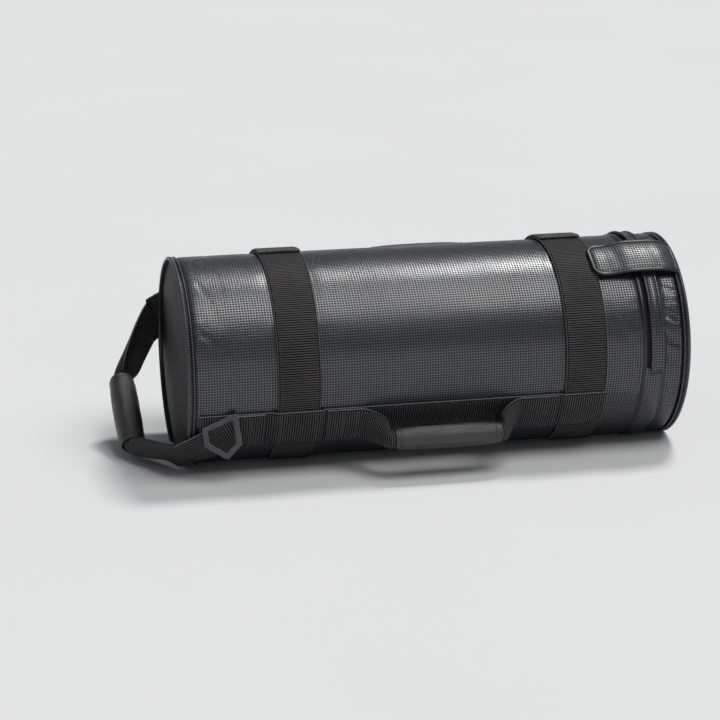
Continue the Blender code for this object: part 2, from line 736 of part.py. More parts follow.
def make_anchor_loop():
    """The ring hangs down from the sloping upper edge of the handle's root, with its face to the front."""
    seat = bag_point(LOOP_CENTRE_X, LOOP_ANGLE, LOOP_SEAT_OUT)
    along = Vector((math.cos(LOOP_TURN), -math.sin(LOOP_TURN), 0.0))
    outward = Vector((-math.sin(LOOP_TURN), -math.cos(LOOP_TURN), 0.0))
    half = outward * (LOOP_TAPE_THICKNESS / 2)
    pivot = seat + outward * LOOP_STANDOFF + Vector((0.0, 0.0, LOOP_RISE))
    upright = Vector((0.0, 0.0, LOOP_DROP))
    corners = [pivot + along * (LOOP_WIDTH * x) + upright * z for x, z in LOOP_OUTLINE_SHARES]
    outer = rounded_outline(corners, LOOP_OUTER_CORNER, LOOP_CORNER_STEPS)
    inner = rounded_outline(inset_corners(corners, LOOP_TAPE_WIDTH), LOOP_INNER_CORNER, LOOP_CORNER_STEPS)
    rings = [[outside + half, outside - half, inside - half, inside + half] for outside, inside in zip(outer, inner)]
    make_object("anchor_loop", rings_solid(rings, looped=True), webbing_black, origin=pivot)


make_anchor_loop()

# Zip: two tapes, two rows of teeth, end stops and a slider, in the slot between sleeve and collar
ZIP_FRONT_ANGLE = math.radians(94)
ZIP_BACK_ANGLE = math.radians(-98)
TAPE_WIDTH = 0.0178
TAPE_THICKNESS = 0.0009
TAPE_SPLIT = 0.0006
TOOTH_PITCH = 0.0086
TOOTH_WIDTH = 0.0022
TOOTH_LENGTH = 0.0052
TOOTH_OVERLAP = 0.0015
TOOTH_HEIGHT = 0.0019
TOOTH_TIP_SHARE = 0.8
BEAD_WIDTH = 0.0013
TAPE_STEPS = 28
GUSSET_STEPS = 28
STOP_STEPS = 2
STOP_LENGTH = 0.005
STOP_WIDTH = 0.009
STOP_HEIGHT = 0.0024
TAPE_OUTER = SKIN_INNER - SEAT_GAP
TAPE_INNER = TAPE_OUTER - TAPE_THICKNESS
TOOTH_BASE = TAPE_OUTER + SEAT_GAP
TOOTH_TOP = TOOTH_BASE + TOOTH_HEIGHT

tape_black = make_material("tape_black", (0.015, 0.015, 0.017), 0.8)
tooth_black = make_material("tooth_black", (0.022, 0.022, 0.024), 0.35)
zip_metal = make_material("zip_metal", (0.06, 0.06, 0.065), 0.3, 0.9)


def arc_sheet(bm, left, right, start, end, inner, outer, count):
    angles = steps(start, end, count)
    top = [[bag_point(x, angle, outer) for x in (left, right)] for angle in angles]
    under = [[bag_point(x, angle, inner) for x in (left, right)] for angle in angles]
    add_sheet(bm, top, under)


def make_zip_tape(name, side):
    bm = bmesh.new()
    near = ZIP_CENTRE + side * TAPE_SPLIT / 2
    far = near + side * TAPE_WIDTH
    arc_sheet(bm, min(near, far), max(near, far), ZIP_BACK_ANGLE, ZIP_FRONT_ANGLE, TAPE_INNER, TAPE_OUTER, TAPE_STEPS)
    make_object(name, bm, tape_black)


def make_zip_teeth(name, side):
    """A moulded row: a bead along the tape, with teeth that narrow towards the middle."""
    bm = bmesh.new()
    pitch = TOOTH_PITCH / TOOTH_TOP
    width = TOOTH_WIDTH / TOOTH_TOP
    margin = STOP_LENGTH / TOOTH_TOP
    first = ZIP_BACK_ANGLE + margin + (pitch / 2 if side > 0 else 0.0)
    count = int((ZIP_FRONT_ANGLE - ZIP_BACK_ANGLE - 2 * margin) / pitch - 1 / 2)
    tip_x = ZIP_CENTRE - side * TOOTH_OVERLAP
    root_x = tip_x + side * TOOTH_LENGTH
    bead_x = root_x - side * BEAD_WIDTH
    rows = []
    for index in range(count):
        for turn in (0.0, width):
            angle = first + pitch * index + turn
            places = ((root_x, TOOTH_BASE), (root_x, TOOTH_TOP), (bead_x, TOOTH_TOP), (bead_x, TOOTH_BASE))
            rows.append([bm.verts.new(bag_point(x, angle, radius)) for x, radius in places])
    bm.faces.new(rows[0])
    bm.faces.new(rows[-1])
    taper = width * (1 - TOOTH_TIP_SHARE) / 2
    for index, (near, far) in enumerate(zip(rows, rows[1:])):
        for corner in (3, 0, 1):
            following = (corner + 1) % 4
            bm.faces.new((near[corner], near[following], far[following], far[corner]))
        mouth = (near[2], near[3], far[3], far[2])
        if index % 2:
            bm.faces.new(mouth)
            continue
        start = first + pitch * (index // 2) + taper
        end = start + width - 2 * taper
        tips = ((start, TOOTH_TOP), (start, TOOTH_BASE), (end, TOOTH_BASE), (end, TOOTH_TOP))
        tip = [bm.verts.new(bag_point(tip_x, angle, radius)) for angle, radius in tips]
        bm.faces.new(tip)
        for corner in range(4):
            following = (corner + 1) % 4
            bm.faces.new((mouth[corner], mouth[following], tip[following], tip[corner]))
    make_object(name, bm, tooth_black)


def make_zip_stop(name, start):
    bm = bmesh.new()
    turn = (STOP_LENGTH - SEAT_GAP * 2) / TOOTH_TOP
    left = ZIP_CENTRE - STOP_WIDTH / 2
    right = ZIP_CENTRE + STOP_WIDTH / 2
    arc_sheet(bm, left, right, start, start + turn, TOOTH_BASE, TOOTH_BASE + STOP_HEIGHT, STOP_STEPS)
    make_object(name, bm, zip_metal)


def make_zip_gusset():
    """Below the zip's ends the slot is closed by a plain strip of the cover."""
    bm = bmesh.new()
    margin = SEAT_GAP / BODY_RADIUS * 2
    start = ZIP_FRONT_ANGLE + margin
    end = ZIP_BACK_ANGLE + 2 * math.pi - margin
    angles = steps(start, end, GUSSET_STEPS)
    sides = (SLEEVE_RIGHT + SEAT_GAP, COLLAR_LEFT - SEAT_GAP)
    top = [[bag_point(x, angle, BODY_RADIUS, 0.0) for x in sides] for angle in angles]
    under = [[bag_point(x, angle, SKIN_INNER, SKIN_THICKNESS) for x in sides] for angle in angles]
    add_sheet(bm, top, under)
    make_object("zip_gusset", bm, cover_black)


make_zip_tape("zip_tape_left", -1)
make_zip_tape("zip_tape_right", 1)
make_zip_teeth("zip_teeth_left", -1)
make_zip_teeth("zip_teeth_right", 1)
make_zip_stop("zip_back_stop", ZIP_BACK_ANGLE)
make_zip_stop("zip_front_stop", ZIP_FRONT_ANGLE - (STOP_LENGTH - SEAT_GAP * 2) / TOOTH_TOP)
make_zip_gusset()

# Slider: a plate with side guides that rides over the teeth, and a pull hung on its bridge
SLIDER_LENGTH = 0.018
SLIDER_WIDTH = 0.0115
SLIDER_PLATE = 0.0012
GUIDE_THICKNESS = 0.0009
BRIDGE_WIDTH = 0.0022
BRIDGE_HEIGHT = 0.0038
BRIDGE_LENGTH = 0.010
PULL_LENGTH = 0.022
PULL_WIDTH = 0.008
PULL_THICKNESS = 0.0010
PULL_HOLE_WIDTH = 0.0045
PULL_HOLE_LENGTH = 0.0046
PULL_RIM = 0.0014
BRIDGE_BAR = 0.0011
PULL_LIFT = 0.0013
PULL_OFFSET = -0.0008
SLIDER_ANGLE = ZIP_BACK_ANGLE + (STOP_LENGTH + SLIDER_LENGTH / 2 + TOOTH_WIDTH) / TOOTH_TOP
SLIDER_UNDER = TOOTH_TOP + SEAT_GAP * 2
SLIDER_TOP = SLIDER_UNDER + SLIDER_PLATE


def slider_place(across, along, out):
    """A point by its distance across the zip, along it towards the front, and out from the axis."""
    return strap_place(SLIDER_ANGLE, ZIP_CENTRE + across, along, out)


def make_zip_slider():
    """An arched plate with its side guides turned down, and the bridge that holds the pull."""
    half = SLIDER_WIDTH / 2
    guide_foot = TAPE_OUTER + SEAT_GAP * 2
    profile = [
        (-half, guide_foot), (-half, SLIDER_TOP), (-BRIDGE_WIDTH / 2, SLIDER_TOP),
        (BRIDGE_WIDTH / 2, SLIDER_TOP), (half, SLIDER_TOP), (half, guide_foot),
        (half - GUIDE_THICKNESS, guide_foot), (half - GUIDE_THICKNESS, SLIDER_UNDER),
        (-half + GUIDE_THICKNESS, SLIDER_UNDER), (-half + GUIDE_THICKNESS, guide_foot),
    ]
    length_shares = (-0.5, -0.3, 0.3, 0.5)
    waist_shares = (0.86, 1.0, 1.0, 0.86)
    rings = []
    for length_share, waist in zip(length_shares, waist_shares):
        rings.append([slider_place(x * waist, SLIDER_LENGTH * length_share, out) for x, out in profile])
    plate = make_object("zip_slider", rings_solid(rings), zip_metal)
    bridge_arch = bmesh.new()
    wide = BRIDGE_WIDTH / 2
    arch = []
    sink = SLIDER_PLATE / 2
    for share in steps(0.0, 1.0, 6):
        turn = math.pi * share
        run = -math.cos(turn) * BRIDGE_LENGTH / 2
        rise = math.sin(turn) * BRIDGE_HEIGHT
        arch.append((run, SLIDER_TOP - sink + (BRIDGE_HEIGHT + sink) / BRIDGE_HEIGHT * rise))
    bar = BRIDGE_BAR
    outer = [[slider_place(x, run, out) for x in (-wide, wide)] for run, out in arch]
    inner = []
    for run, out in arch:
        scale = (BRIDGE_LENGTH / 2 - bar) / (BRIDGE_LENGTH / 2)
        drop = bar * (out - SLIDER_TOP + sink) / (BRIDGE_HEIGHT + sink)
        inner.append([slider_place(x, run * scale, out - drop) for x in (-wide, wide)])
    add_sheet(bridge_arch, outer, inner)
    cutter = make_object("bridge_shape", bridge_arch, zip_metal)
    join_pieces(plate, cutter)
    move_origin(plate, Vector((ZIP_CENTRE, 0.0, AXIS_HEIGHT)))


def join_pieces(piece, addition):
    """Unions a second shape into a piece and removes the second one."""
    union = piece.modifiers.new("union", "BOOLEAN")
    union.operation = "UNION"
    union.solver = "EXACT"
    union.object = addition
    graph = bpy.context.evaluated_depsgraph_get()
    merged = bpy.data.meshes.new_from_object(piece.evaluated_get(graph))
    piece.modifiers.clear()
    piece.data = merged
    bpy.data.objects.remove(addition, do_unlink=True)


def move_origin(piece, origin):
    shift = piece.matrix_world.inverted() @ origin
    piece.data.transform(Matrix.Translation(-shift))
    piece.location = piece.location + shift


PULL_PIVOT_OUT = SLIDER_TOP + PULL_LIFT


def make_zip_pull():
    """A flat tag whose eye passes round the bridge; it hangs down the zip."""
    half = PULL_WIDTH / 2
    foot = -PULL_LENGTH
    shoulder = foot + PULL_RIM * 2
    outline = [(-half, PULL_RIM / 2), (half, PULL_RIM / 2), (half, shoulder)]
    outline += [(half - PULL_RIM, foot), (PULL_RIM - half, foot), (-half, shoulder)]
    hole = PULL_HOLE_WIDTH / 2
    eye_top = -PULL_RIM / 2
    eye_foot = eye_top - PULL_HOLE_LENGTH
    eye = [(-hole, eye_top), (hole, eye_top), (hole, eye_foot + PULL_RIM / 2)]
    eye += [(hole - PULL_RIM / 2, eye_foot), (PULL_RIM / 2 - hole, eye_foot), (-hole, eye_foot + PULL_RIM / 2)]
    low = PULL_PIVOT_OUT - PULL_THICKNESS / 2
    high = PULL_PIVOT_OUT + PULL_THICKNESS / 2
    rings = []
    for shape, out in ((outline, low), (outline, high), (eye, high), (eye, low)):
        rings.append([slider_place(across, PULL_OFFSET + along, out) for across, along in shape])
    pivot = slider_place(0.0, PULL_OFFSET, PULL_PIVOT_OUT)
    make_object("zip_pull", rings_solid(rings, looped=True), zip_metal, origin=pivot)


make_zip_slider()
make_zip_pull()

# Closure flap: a padded tab sewn in at the right rim, laid over the zip and held by hook and loop
FLAP_ANGLE = math.radians(28.9)
FLAP_WIDTH = 0.050
FLAP_REACH = 0.0635
FLAP_SEAM_INSET = 0.0035
FLAP_TIP_X = ZIP_CENTRE - FLAP_REACH
FLAP_RIM_X = HALF_LENGTH - FLAP_SEAM_INSET
FLAP_THICKNESS = 0.0034
FLAP_CROWN = 0.0012
FLAP_CORNER = 0.014
FLAP_BINDING = 0.0045
BINDING_RISE = 0.0006
FLAP_ARCH = 0.0078
FLAP_SEGMENTS = 6
PATCH_LENGTH = 0.030
PATCH_WIDTH = 0.036
PATCH_THICKNESS = 0.0010
PATCH_INSET = 0.0090
PATCH_LOOP_OUT = BODY_RADIUS + SEAT_GAP
FLAP_LOW = PATCH_LOOP_OUT + (PATCH_THICKNESS + SEAT_GAP) * 2
FLAP_HIGH = BODY_RADIUS + FLAP_ARCH
FLAP_RIM = BODY_RADIUS + SEAM_RISE + SEAT_GAP
FLAP_HALF = FLAP_WIDTH / 2
ARCH_LEFT = SLEEVE_RIGHT - WELT_WIDTH
ARCH_RIGHT = COLLAR_LEFT + WELT_WIDTH / 2
FLAP_SHOULDER = 0.012


def flap_underside(x):
    """Height of the flap's underside: down on its patch, over the zip, and down to the seam."""
    up = smooth_share((x - ARCH_LEFT + FLAP_SHOULDER) / FLAP_SHOULDER)
    down = smooth_share((x - ARCH_RIGHT) / (FLAP_RIM_X - SEAM_WIDTH / 2 - ARCH_RIGHT))
    return FLAP_LOW + (FLAP_HIGH - FLAP_LOW) * up + (FLAP_RIM - FLAP_HIGH) * down


def flap_point(x, across, above):
    return bag_point(x, FLAP_ANGLE + across / BODY_RADIUS, flap_underside(x) + above)


def flap_half_width(x, inset):
    """Half the flap's width, drawn in by its rounded free end."""
    run = x - (FLAP_TIP_X + inset)
    corner = FLAP_CORNER - inset
    half = FLAP_HALF - inset
    if run >= corner:
        return half
    return half - corner + math.sqrt(max(0.0, corner * corner - (corner - run) ** 2))


def flap_stations(inset):
    corner = FLAP_CORNER - inset
    tip = FLAP_TIP_X + inset
    stations = [tip + corner * share for share in (0.0, 0.13, 0.5, 1.0)]
    rise_start = ARCH_LEFT - FLAP_SHOULDER
    stations += [(stations[-1] + rise_start) / 2]
    stations += [rise_start + FLAP_SHOULDER * share for share in (0.1, 0.37, 0.63, 0.9)]
    fall = FLAP_RIM_X - SEAM_WIDTH / 2 - ARCH_RIGHT
    stations += [ARCH_RIGHT + fall * share for share in (0.0, 0.3, 0.7, 1.0)]
    stations.append(FLAP_RIM_X)
    return stations


def make_closure_flap(origin):
    inset = FLAP_BINDING + SEAT_GAP
    outer = []
    inner = []
    for x in flap_stations(inset):
        half = flap_half_width(x, inset)
        widths = steps(-half, half, FLAP_SEGMENTS)
        crown = [FLAP_CROWN * (1 - (width / FLAP_HALF) ** 2) for width in widths]
        outer.append([flap_point(x, width, FLAP_THICKNESS + rise) for width, rise in zip(widths, crown)])
        inner.append([flap_point(x, width, 0.0) for width in widths])
    make_object("closure_flap", sheet_solid(outer, inner), cover_black, origin)


def binding_edge(inset, side):
    return [(x, side * flap_half_width(x, inset)) for x in flap_stations(inset)]


def make_flap_binding(origin):
    """A turned strip of the cover bound round the flap's three free edges."""
    outlines = []
    for inset in (0.0, FLAP_BINDING):
        near = binding_edge(inset, -1)
        far = binding_edge(inset, 1)
        tip_x, tip_half = far[0]
        tip = [(tip_x, tip_half * share) for share in (-0.5, 0.0, 0.5)]
        outlines.append(list(reversed(near)) + tip + far)
    outer = []
    inner = []
    for edge, lip in zip(*outlines):
        outer.append([flap_point(*edge, FLAP_THICKNESS), flap_point(*lip, FLAP_THICKNESS + BINDING_RISE)])
        inner.append([flap_point(*edge, 0.0), flap_point(*lip, 0.0)])
    make_object("flap_binding", sheet_solid(outer, inner), piping_black, origin)


def make_patch(name, radius, material, origin=None):
    bm = bmesh.new()
    left = FLAP_TIP_X + PATCH_INSET
    half = PATCH_WIDTH / 2 / BODY_RADIUS
    arc_sheet(bm, left, left + PATCH_LENGTH, FLAP_ANGLE - half, FLAP_ANGLE + half, radius, radius + PATCH_THICKNESS, 4)
    make_object(name, bm, material, origin)


hook_black = make_material("hook_black", (0.02, 0.02, 0.021), 0.95)
flap_pivot = bag_point(FLAP_RIM_X, FLAP_ANGLE, FLAP_RIM)
make_closure_flap(flap_pivot)
make_flap_binding(flap_pivot)
make_patch("hook_patch", PATCH_LOOP_OUT + PATCH_THICKNESS + SEAT_GAP, hook_black, flap_pivot)
make_patch("loop_patch", PATCH_LOOP_OUT, hook_black)
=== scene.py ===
"""Looks of a sand-filled training bag lying on its side: embossed cover, webbing, padded grips and zip."""

from math import atan2, copysign, cos, exp, hypot, pi, radians, remainder, sin, sqrt, tan

import bmesh
import bpy
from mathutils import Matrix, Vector, noise


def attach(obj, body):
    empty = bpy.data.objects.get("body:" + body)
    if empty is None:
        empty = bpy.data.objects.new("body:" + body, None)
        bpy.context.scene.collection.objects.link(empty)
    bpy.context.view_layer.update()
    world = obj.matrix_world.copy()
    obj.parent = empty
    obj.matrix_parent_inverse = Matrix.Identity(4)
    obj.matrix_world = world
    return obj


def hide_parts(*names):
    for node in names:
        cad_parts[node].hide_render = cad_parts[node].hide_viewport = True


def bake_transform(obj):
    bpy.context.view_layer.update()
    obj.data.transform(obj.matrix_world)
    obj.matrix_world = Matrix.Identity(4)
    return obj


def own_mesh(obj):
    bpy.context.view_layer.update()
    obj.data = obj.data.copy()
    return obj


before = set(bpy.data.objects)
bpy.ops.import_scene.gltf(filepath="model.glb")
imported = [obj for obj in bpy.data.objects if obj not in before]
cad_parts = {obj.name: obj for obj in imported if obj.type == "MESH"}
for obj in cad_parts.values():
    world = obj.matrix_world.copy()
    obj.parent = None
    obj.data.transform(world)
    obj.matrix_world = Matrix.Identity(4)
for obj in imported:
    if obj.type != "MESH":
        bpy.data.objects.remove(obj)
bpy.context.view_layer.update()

# Cover sleeve and end collar
# The long tube of the bag is vinyl-coated polyester with a small embossed grid, filled hard and lying
# on a flattened underside. It is hemmed into both rims, and folded back and stitched along the zip.
AXIS_HEIGHT = 0.1155
BODY_RADIUS = 0.122
FLOOR_TURN = 0.0025
SKIN = 0.0015
BAND_CENTRE = 0.172
BAND_HALF = 0.025
BAND_EDGES = (-0.197, -0.147, 0.147, 0.197)
BAND_PRESS = 0.0026
BAND_RUN = 0.004
SLEEVE_LEFT = -0.2917
SLEEVE_RIGHT = 0.2475
COLLAR_LEFT = 0.2615
COLLAR_RIGHT = 0.2917
HEM_ROUNDING = 0.0085
HEM_DROP = 0.0025
WELT_WIDTH = 0.0065
WELT_RISE = 0.0017
LUMPS = 0.0007
FINE_LUMPS = 0.00018
BAND_PUCKER = 0.0006
HEM_PUCKER = 0.00055
HEM_STITCH_LINES = ((0.0275, 0.00035, 0.0016), (0.0365, 0.0003, 0.0014))
WELT_GROOVE = 0.0007
WELT_PUCKER = 0.0004
COLLAR_STEP_X = 0.2696
COLLAR_STEP = 0.0012
STRAP_END = 0.197
CLOSING_SEAM = radians(120)
CLOSING_DENT = 0.0006
ROUND_STEPS = 288
FINEST_STEP = 0.0006
WIDEST_STEP = 0.0055
EMBOSS_PITCH = 0.0032


def steps(start, end, count):
    return [start + (end - start) * index / count for index in range(count + 1)]


def eased(share):
    share = min(max(share, 0.0), 1.0)
    return share * share * (3 - 2 * share)


def ridge(distance, width):
    return exp(-((distance / width) ** 2))


def rounded(share):
    """Height of a rounded edge: nothing at the edge, full where the rounding ends at share 1."""
    return sqrt(max(0.0, 1 - (1 - min(1.0, share)) ** 2))


def lump(along, angle, spread):
    """Smooth noise that closes up round the bag."""
    return noise.noise(Vector((along, spread * cos(angle), spread * sin(angle))))


def resting(height, floor):
    depth = height - floor
    if depth >= FLOOR_TURN:
        return height
    if depth <= -FLOOR_TURN:
        return floor
    return floor + (depth + FLOOR_TURN) ** 2 / (4 * FLOOR_TURN)


def round_bag(x, angle, radius, floor=0.0):
    """A point by its angle from the top towards the front, pressed flat where it meets the ground."""
    return Vector((x, -radius * sin(angle), resting(AXIS_HEIGHT + radius * cos(angle), floor)))


def outward(angle):
    return Vector((0.0, -sin(angle), cos(angle)))


def finished(name, bm, materials, body):
    """A piece of the scene from a built mesh, riding on its body."""
    mesh = bpy.data.meshes.new(name)
    bm.to_mesh(mesh)
    bm.free()
    mesh.shade_smooth()
    for material in materials:
        mesh.materials.append(material)
    piece = bpy.data.objects.new(name, mesh)
    bpy.context.collection.objects.link(piece)
    if body:
        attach(piece, body)
    return piece


def sew(name, grids, materials, body, second=None):
    """One skin from grids of points with matching cloth coordinates in metres."""
    bm = bmesh.new()
    cloth = bm.loops.layers.uv.new("cloth")
    for points, flat in grids:
        verts = [[bm.verts.new(point) for point in row] for row in points]
        for i in range(len(points) - 1):
            for j in range(len(points[0]) - 1):
                corners = ((i, j), (i + 1, j), (i + 1, j + 1), (i, j + 1))
                face = bm.faces.new([verts[a][b] for a, b in corners])
                for loop, (a, b) in zip(face.loops, corners):
                    loop[cloth].uv = flat[a][b]
    bmesh.ops.remove_doubles(bm, verts=bm.verts, dist=1e-6)
    bmesh.ops.dissolve_degenerate(bm, edges=bm.edges, dist=1e-7)
    bmesh.ops.recalc_face_normals(bm, faces=bm.faces)
    piece = finished(name, bm, materials, body)
    if second:
        for face in piece.data.polygons:
            face.material_index = int(second(face.center))
    return piece


def stands_for(piece, node):
    """Hide the solid that a piece replaces."""
    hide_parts(node)


# Each fold runs from one (x, angle) to another, with its width and depth.
SLEEVE_CREASES = [
    ((-0.276, 0.55), (-0.262, 0.95), 0.0030, 0.0006),
    ((-0.283, 1.05), (-0.258, 1.22), 0.0032, 0.0008),
    ((-0.280, 0.20), (-0.266, 0.02), 0.0030, 0.0006),
    ((0.138, 0.30), (0.128, 0.72), 0.0030, 0.0004),
    ((0.206, 1.15), (0.232, 1.42), 0.0025, 0.0006),
]
COLLAR_CREASES = [
    ((0.266, 1.10), (0.290, 1.21), 0.0036, 0.0030),
    ((0.271, 0.84), (0.290, 0.91), 0.0030, 0.0010),
    ((0.268, 1.35), (0.287, 1.43), 0.0034, 0.0026),
    ((0.267, 1.56), (0.288, 1.66), 0.0032, 0.0022),
    ((0.268, 1.86), (0.287, 1.98), 0.0030, 0.0016),
    ((0.269, 0.16), (0.286, 0.02), 0.0028, 0.0010),
    ((0.270, -0.42), (0.288, -0.60), 0.0028, 0.0012),
    ((0.269, -1.40), (0.288, -1.24), 0.0030, 0.0016),
    ((0.270, 3.90), (0.288, 4.05), 0.0030, 0.0014),
]


def crease(x, angle, start, end, width, depth):
    """Depth of one pressed-in fold of the cover, which fades past both its ends."""
    dx, da = end[0] - start[0], (end[1] - start[1]) * BODY_RADIUS
    px, pa = x - start[0], (angle - start[1]) * BODY_RADIUS
    length = hypot(dx, da)
    along = (px * dx + pa * da) / length / length
    if along < -0.3 or along > 1.3:
        return 0.0
    off = (px * da - pa * dx) / length
    return depth * eased(min(along + 0.3, 1.3 - along) / 0.5) * ridge(off, width)


def cover_radius(x, angle):
    """The filled cover's radius: drawn in at hems and bands, with soft lumps and puckers."""
    radius = BODY_RADIUS - LUMPS * (0.5 + 0.5 * lump(x * 13, angle, 2.1))
    radius -= FINE_LUMPS * (0.5 + 0.5 * lump(x * 55, angle, 7))
    for centre in (-BAND_CENTRE, BAND_CENTRE):
        gap = max(abs(x - centre) - BAND_HALF, 0.0)
        radius -= BAND_PUCKER * ridge(gap, 0.009) * (0.85 + 0.15 * sin(31 * angle + 9 * centre))
    for edge, inward in ((SLEEVE_LEFT, 1), (COLLAR_RIGHT, -1)):
        run = (x - edge) * inward
        if run > 0.07:
            continue
        radius -= HEM_DROP * (1 - rounded(run / HEM_ROUNDING))
        pucker = sin(58 * angle + 2.3 * sin(7 * angle) + 1.4 * sin(17 * angle))
        radius -= HEM_PUCKER * (0.5 + 0.5 * pucker) * ridge(run, 0.011)
        radius -= sum(depth * ridge(run - line, width) for line, depth, width in HEM_STITCH_LINES)
    for edge, inward in ((SLEEVE_RIGHT, -1), (COLLAR_LEFT, 1)):
        run = (x - edge) * inward
        if 0 <= run <= WELT_WIDTH:
            radius += WELT_RISE * rounded(1 - abs(2 * run / WELT_WIDTH - 1))
        radius -= WELT_GROOVE * ridge(run - WELT_WIDTH - 0.0022, 0.0018)
        pucker = sin(47 * angle + 1.9 * sin(11 * angle))
        radius -= WELT_PUCKER * (0.5 + 0.5 * pucker) * ridge(run - WELT_WIDTH - 0.004, 0.006)
    radius -= COLLAR_STEP * ridge(x - COLLAR_STEP_X, 0.0012)
    if x > STRAP_END:
        radius -= CLOSING_DENT * ridge((angle - CLOSING_SEAM) * BODY_RADIUS, 0.0012)
    for fold in SLEEVE_CREASES if x < SLEEVE_RIGHT else COLLAR_CREASES:
        radius -= crease(x, angle, *fold)
    return radius


def band_floor(x):
    """The bands press the underside up a little, and the cover bulges down on both sides of them."""
    return BAND_PRESS * (1 - eased((abs(abs(x) - BAND_CENTRE) - BAND_HALF) / BAND_RUN))


def add_node(tree, kind, inputs=(), **settings):
    """A new node, with each input joined to a socket or set to a value."""
    node = tree.nodes.new(kind)
    for key, value in settings.items():
        setattr(node, key, value)
    for key, value in dict(inputs).items():
        if isinstance(value, bpy.types.NodeSocket):
            tree.links.new(value, node.inputs[key])
        else:
            node.inputs[key].default_value = value
    return node


def new_material(name, **values):
    material = bpy.data.materials.new(name)
    material.use_nodes = True
    shader = material.node_tree.nodes["Principled BSDF"]
    for key, value in values.items():
        shader.inputs[key.replace("_", " ")].default_value = value
    return material


def join(material, **sockets):
    shader = material.node_tree.nodes["Principled BSDF"]
    for key, socket in sockets.items():
        material.node_tree.links.new(socket, shader.inputs[key.replace("_", " ")])


def maths(operation, *values):
    tree = next(value.id_data for value in values if isinstance(value, bpy.types.NodeSocket))
    return add_node(tree, "ShaderNodeMath", enumerate(values), operation=operation).outputs[0]


def mapped(value, low, high, to_low=0.0, to_high=1.0, smooth=False):
    kind = "SMOOTHSTEP" if smooth else "LINEAR"
    limits = enumerate((value, low, high, to_low, to_high))
    return add_node(value.id_data, "ShaderNodeMapRange", limits, interpolation_type=kind).outputs[0]


def tinted(factor, *colours):
    """The first colour where the factor is 0, the second where it is 1."""
    inputs = {0: factor}
    for index, colour in zip((6, 7), colours):
        inputs[index] = colour if isinstance(colour, bpy.types.NodeSocket) else (*colour, 1.0)
    return add_node(factor.id_data, "ShaderNodeMix", inputs, data_type="RGBA").outputs[2]


def mottled(factor, colour, gain):
    return tinted(factor, colour, [gain * part for part in colour])


def grain_place(material):
    return add_node(material.node_tree, "ShaderNodeTexCoord").outputs["Object"]


def cloudy(material, scale, detail=3.0, roughness=0.55, stretch=(1.0, 1.0, 1.0)):
    place = {"Vector": grain_place(material), "Scale": stretch}
    scaled = add_node(material.node_tree, "ShaderNodeMapping", place).outputs[0]
    inputs = {"Vector": scaled, "Scale": scale, "Detail": detail, "Roughness": roughness}
    return add_node(material.node_tree, "ShaderNodeTexNoise", inputs).outputs["Fac"]


def raised(height, distance, below=None):
    inputs = {"Height": height, "Distance": distance, "Strength": 1.0}
    if below is not None:
        inputs["Normal"] = below
    return add_node(height.id_data, "ShaderNodeBump", inputs).outputs["Normal"]


def cloth_axes(material):
    place = add_node(material.node_tree, "ShaderNodeUVMap", uv_map="cloth").outputs["UV"]
    return add_node(material.node_tree, "ShaderNodeSeparateXYZ", {0: place}).outputs[:2]


def embossed_vinyl(name, colour, pit_shade_colour, roughness, specular):
    """Coated cloth rolled with a grid of small sunk squares between satin ribs. The squares are rough and
    carry painted shade: a near-black colour and metallic, so they reflect almost nothing.
    """
    material = new_material(name, Specular_IOR_Level=specular, IOR=1.65)
    cells = [maths("FRACT", maths("DIVIDE", axis, EMBOSS_PITCH)) for axis in cloth_axes(material)]
    rib = maths("MAXIMUM", *[maths("ABSOLUTE", maths("SUBTRACT", cell, 0.5)) for cell in cells])
    rib = mapped(rib, 0.25, 0.37, smooth=True)
    cloud = cloudy(material, 9.0)
    worn = mottled(mapped(cloud, 0.35, 0.75, 0.0, 0.4), colour, 1.6)
    rough = mapped(cloud, 0.3, 0.7, -0.04, 0.06)
    # Sunk squares: painted shade, a near-black colour and metallic so they reflect almost nothing.
    join(
        material,
        Base_Color=tinted(rib, pit_shade_colour, worn),
        Roughness=maths("ADD", mapped(rib, 0.0, 1.0, 0.9, roughness), rough),
        Metallic=mapped(rib, 0.0, 1.0, 0.7, 0.0),
        Normal=raised(rib, 0.00022, raised(cloudy(material, 900.0, 2.0), 0.00004)),
    )
    return material


def smooth_vinyl(name, colour, roughness):
    """The same coated cloth where it is folded back, with fine grain and stretch marks."""
    material = new_material(name, Specular_IOR_Level=0.55)
    cloud = cloudy(material, 30.0)
    pull = raised(cloudy(material, 60.0, 4.0, 0.6, (1.0, 0.25, 0.25)), 0.0004)
    join(
        material,
        Base_Color=mottled(cloud, colour, 1.9),
        Roughness=mapped(cloud, 0.3, 0.7, roughness - 0.06, roughness + 0.08),
        Normal=raised(cloudy(material, 1400.0, 2.0), 0.00005, pull),
    )
    return material


# Near-black colour of the sunk squares of the emboss: painted shade.
PIT_PAINTED_SHADE = (0.001, 0.001, 0.0015)
cover_vinyl = embossed_vinyl("Embossed cover vinyl", (0.011, 0.012, 0.018), PIT_PAINTED_SHADE, 0.31, 1.0)
folded_vinyl = smooth_vinyl("Folded cover vinyl", (0.008, 0.008, 0.010), 0.36)


def tube_stations(left, right):
    """Stations along the bag, closer together near its sewn edges and bands."""
    stations = [left]
    while stations[-1] < right - 0.0004:
        x = stations[-1]
        near = min(abs(x - place) for place in (left, right, *BAND_EDGES))
        stations.append(min(right, x + min(WIDEST_STEP, FINEST_STEP + 0.16 * near)))
    return stations


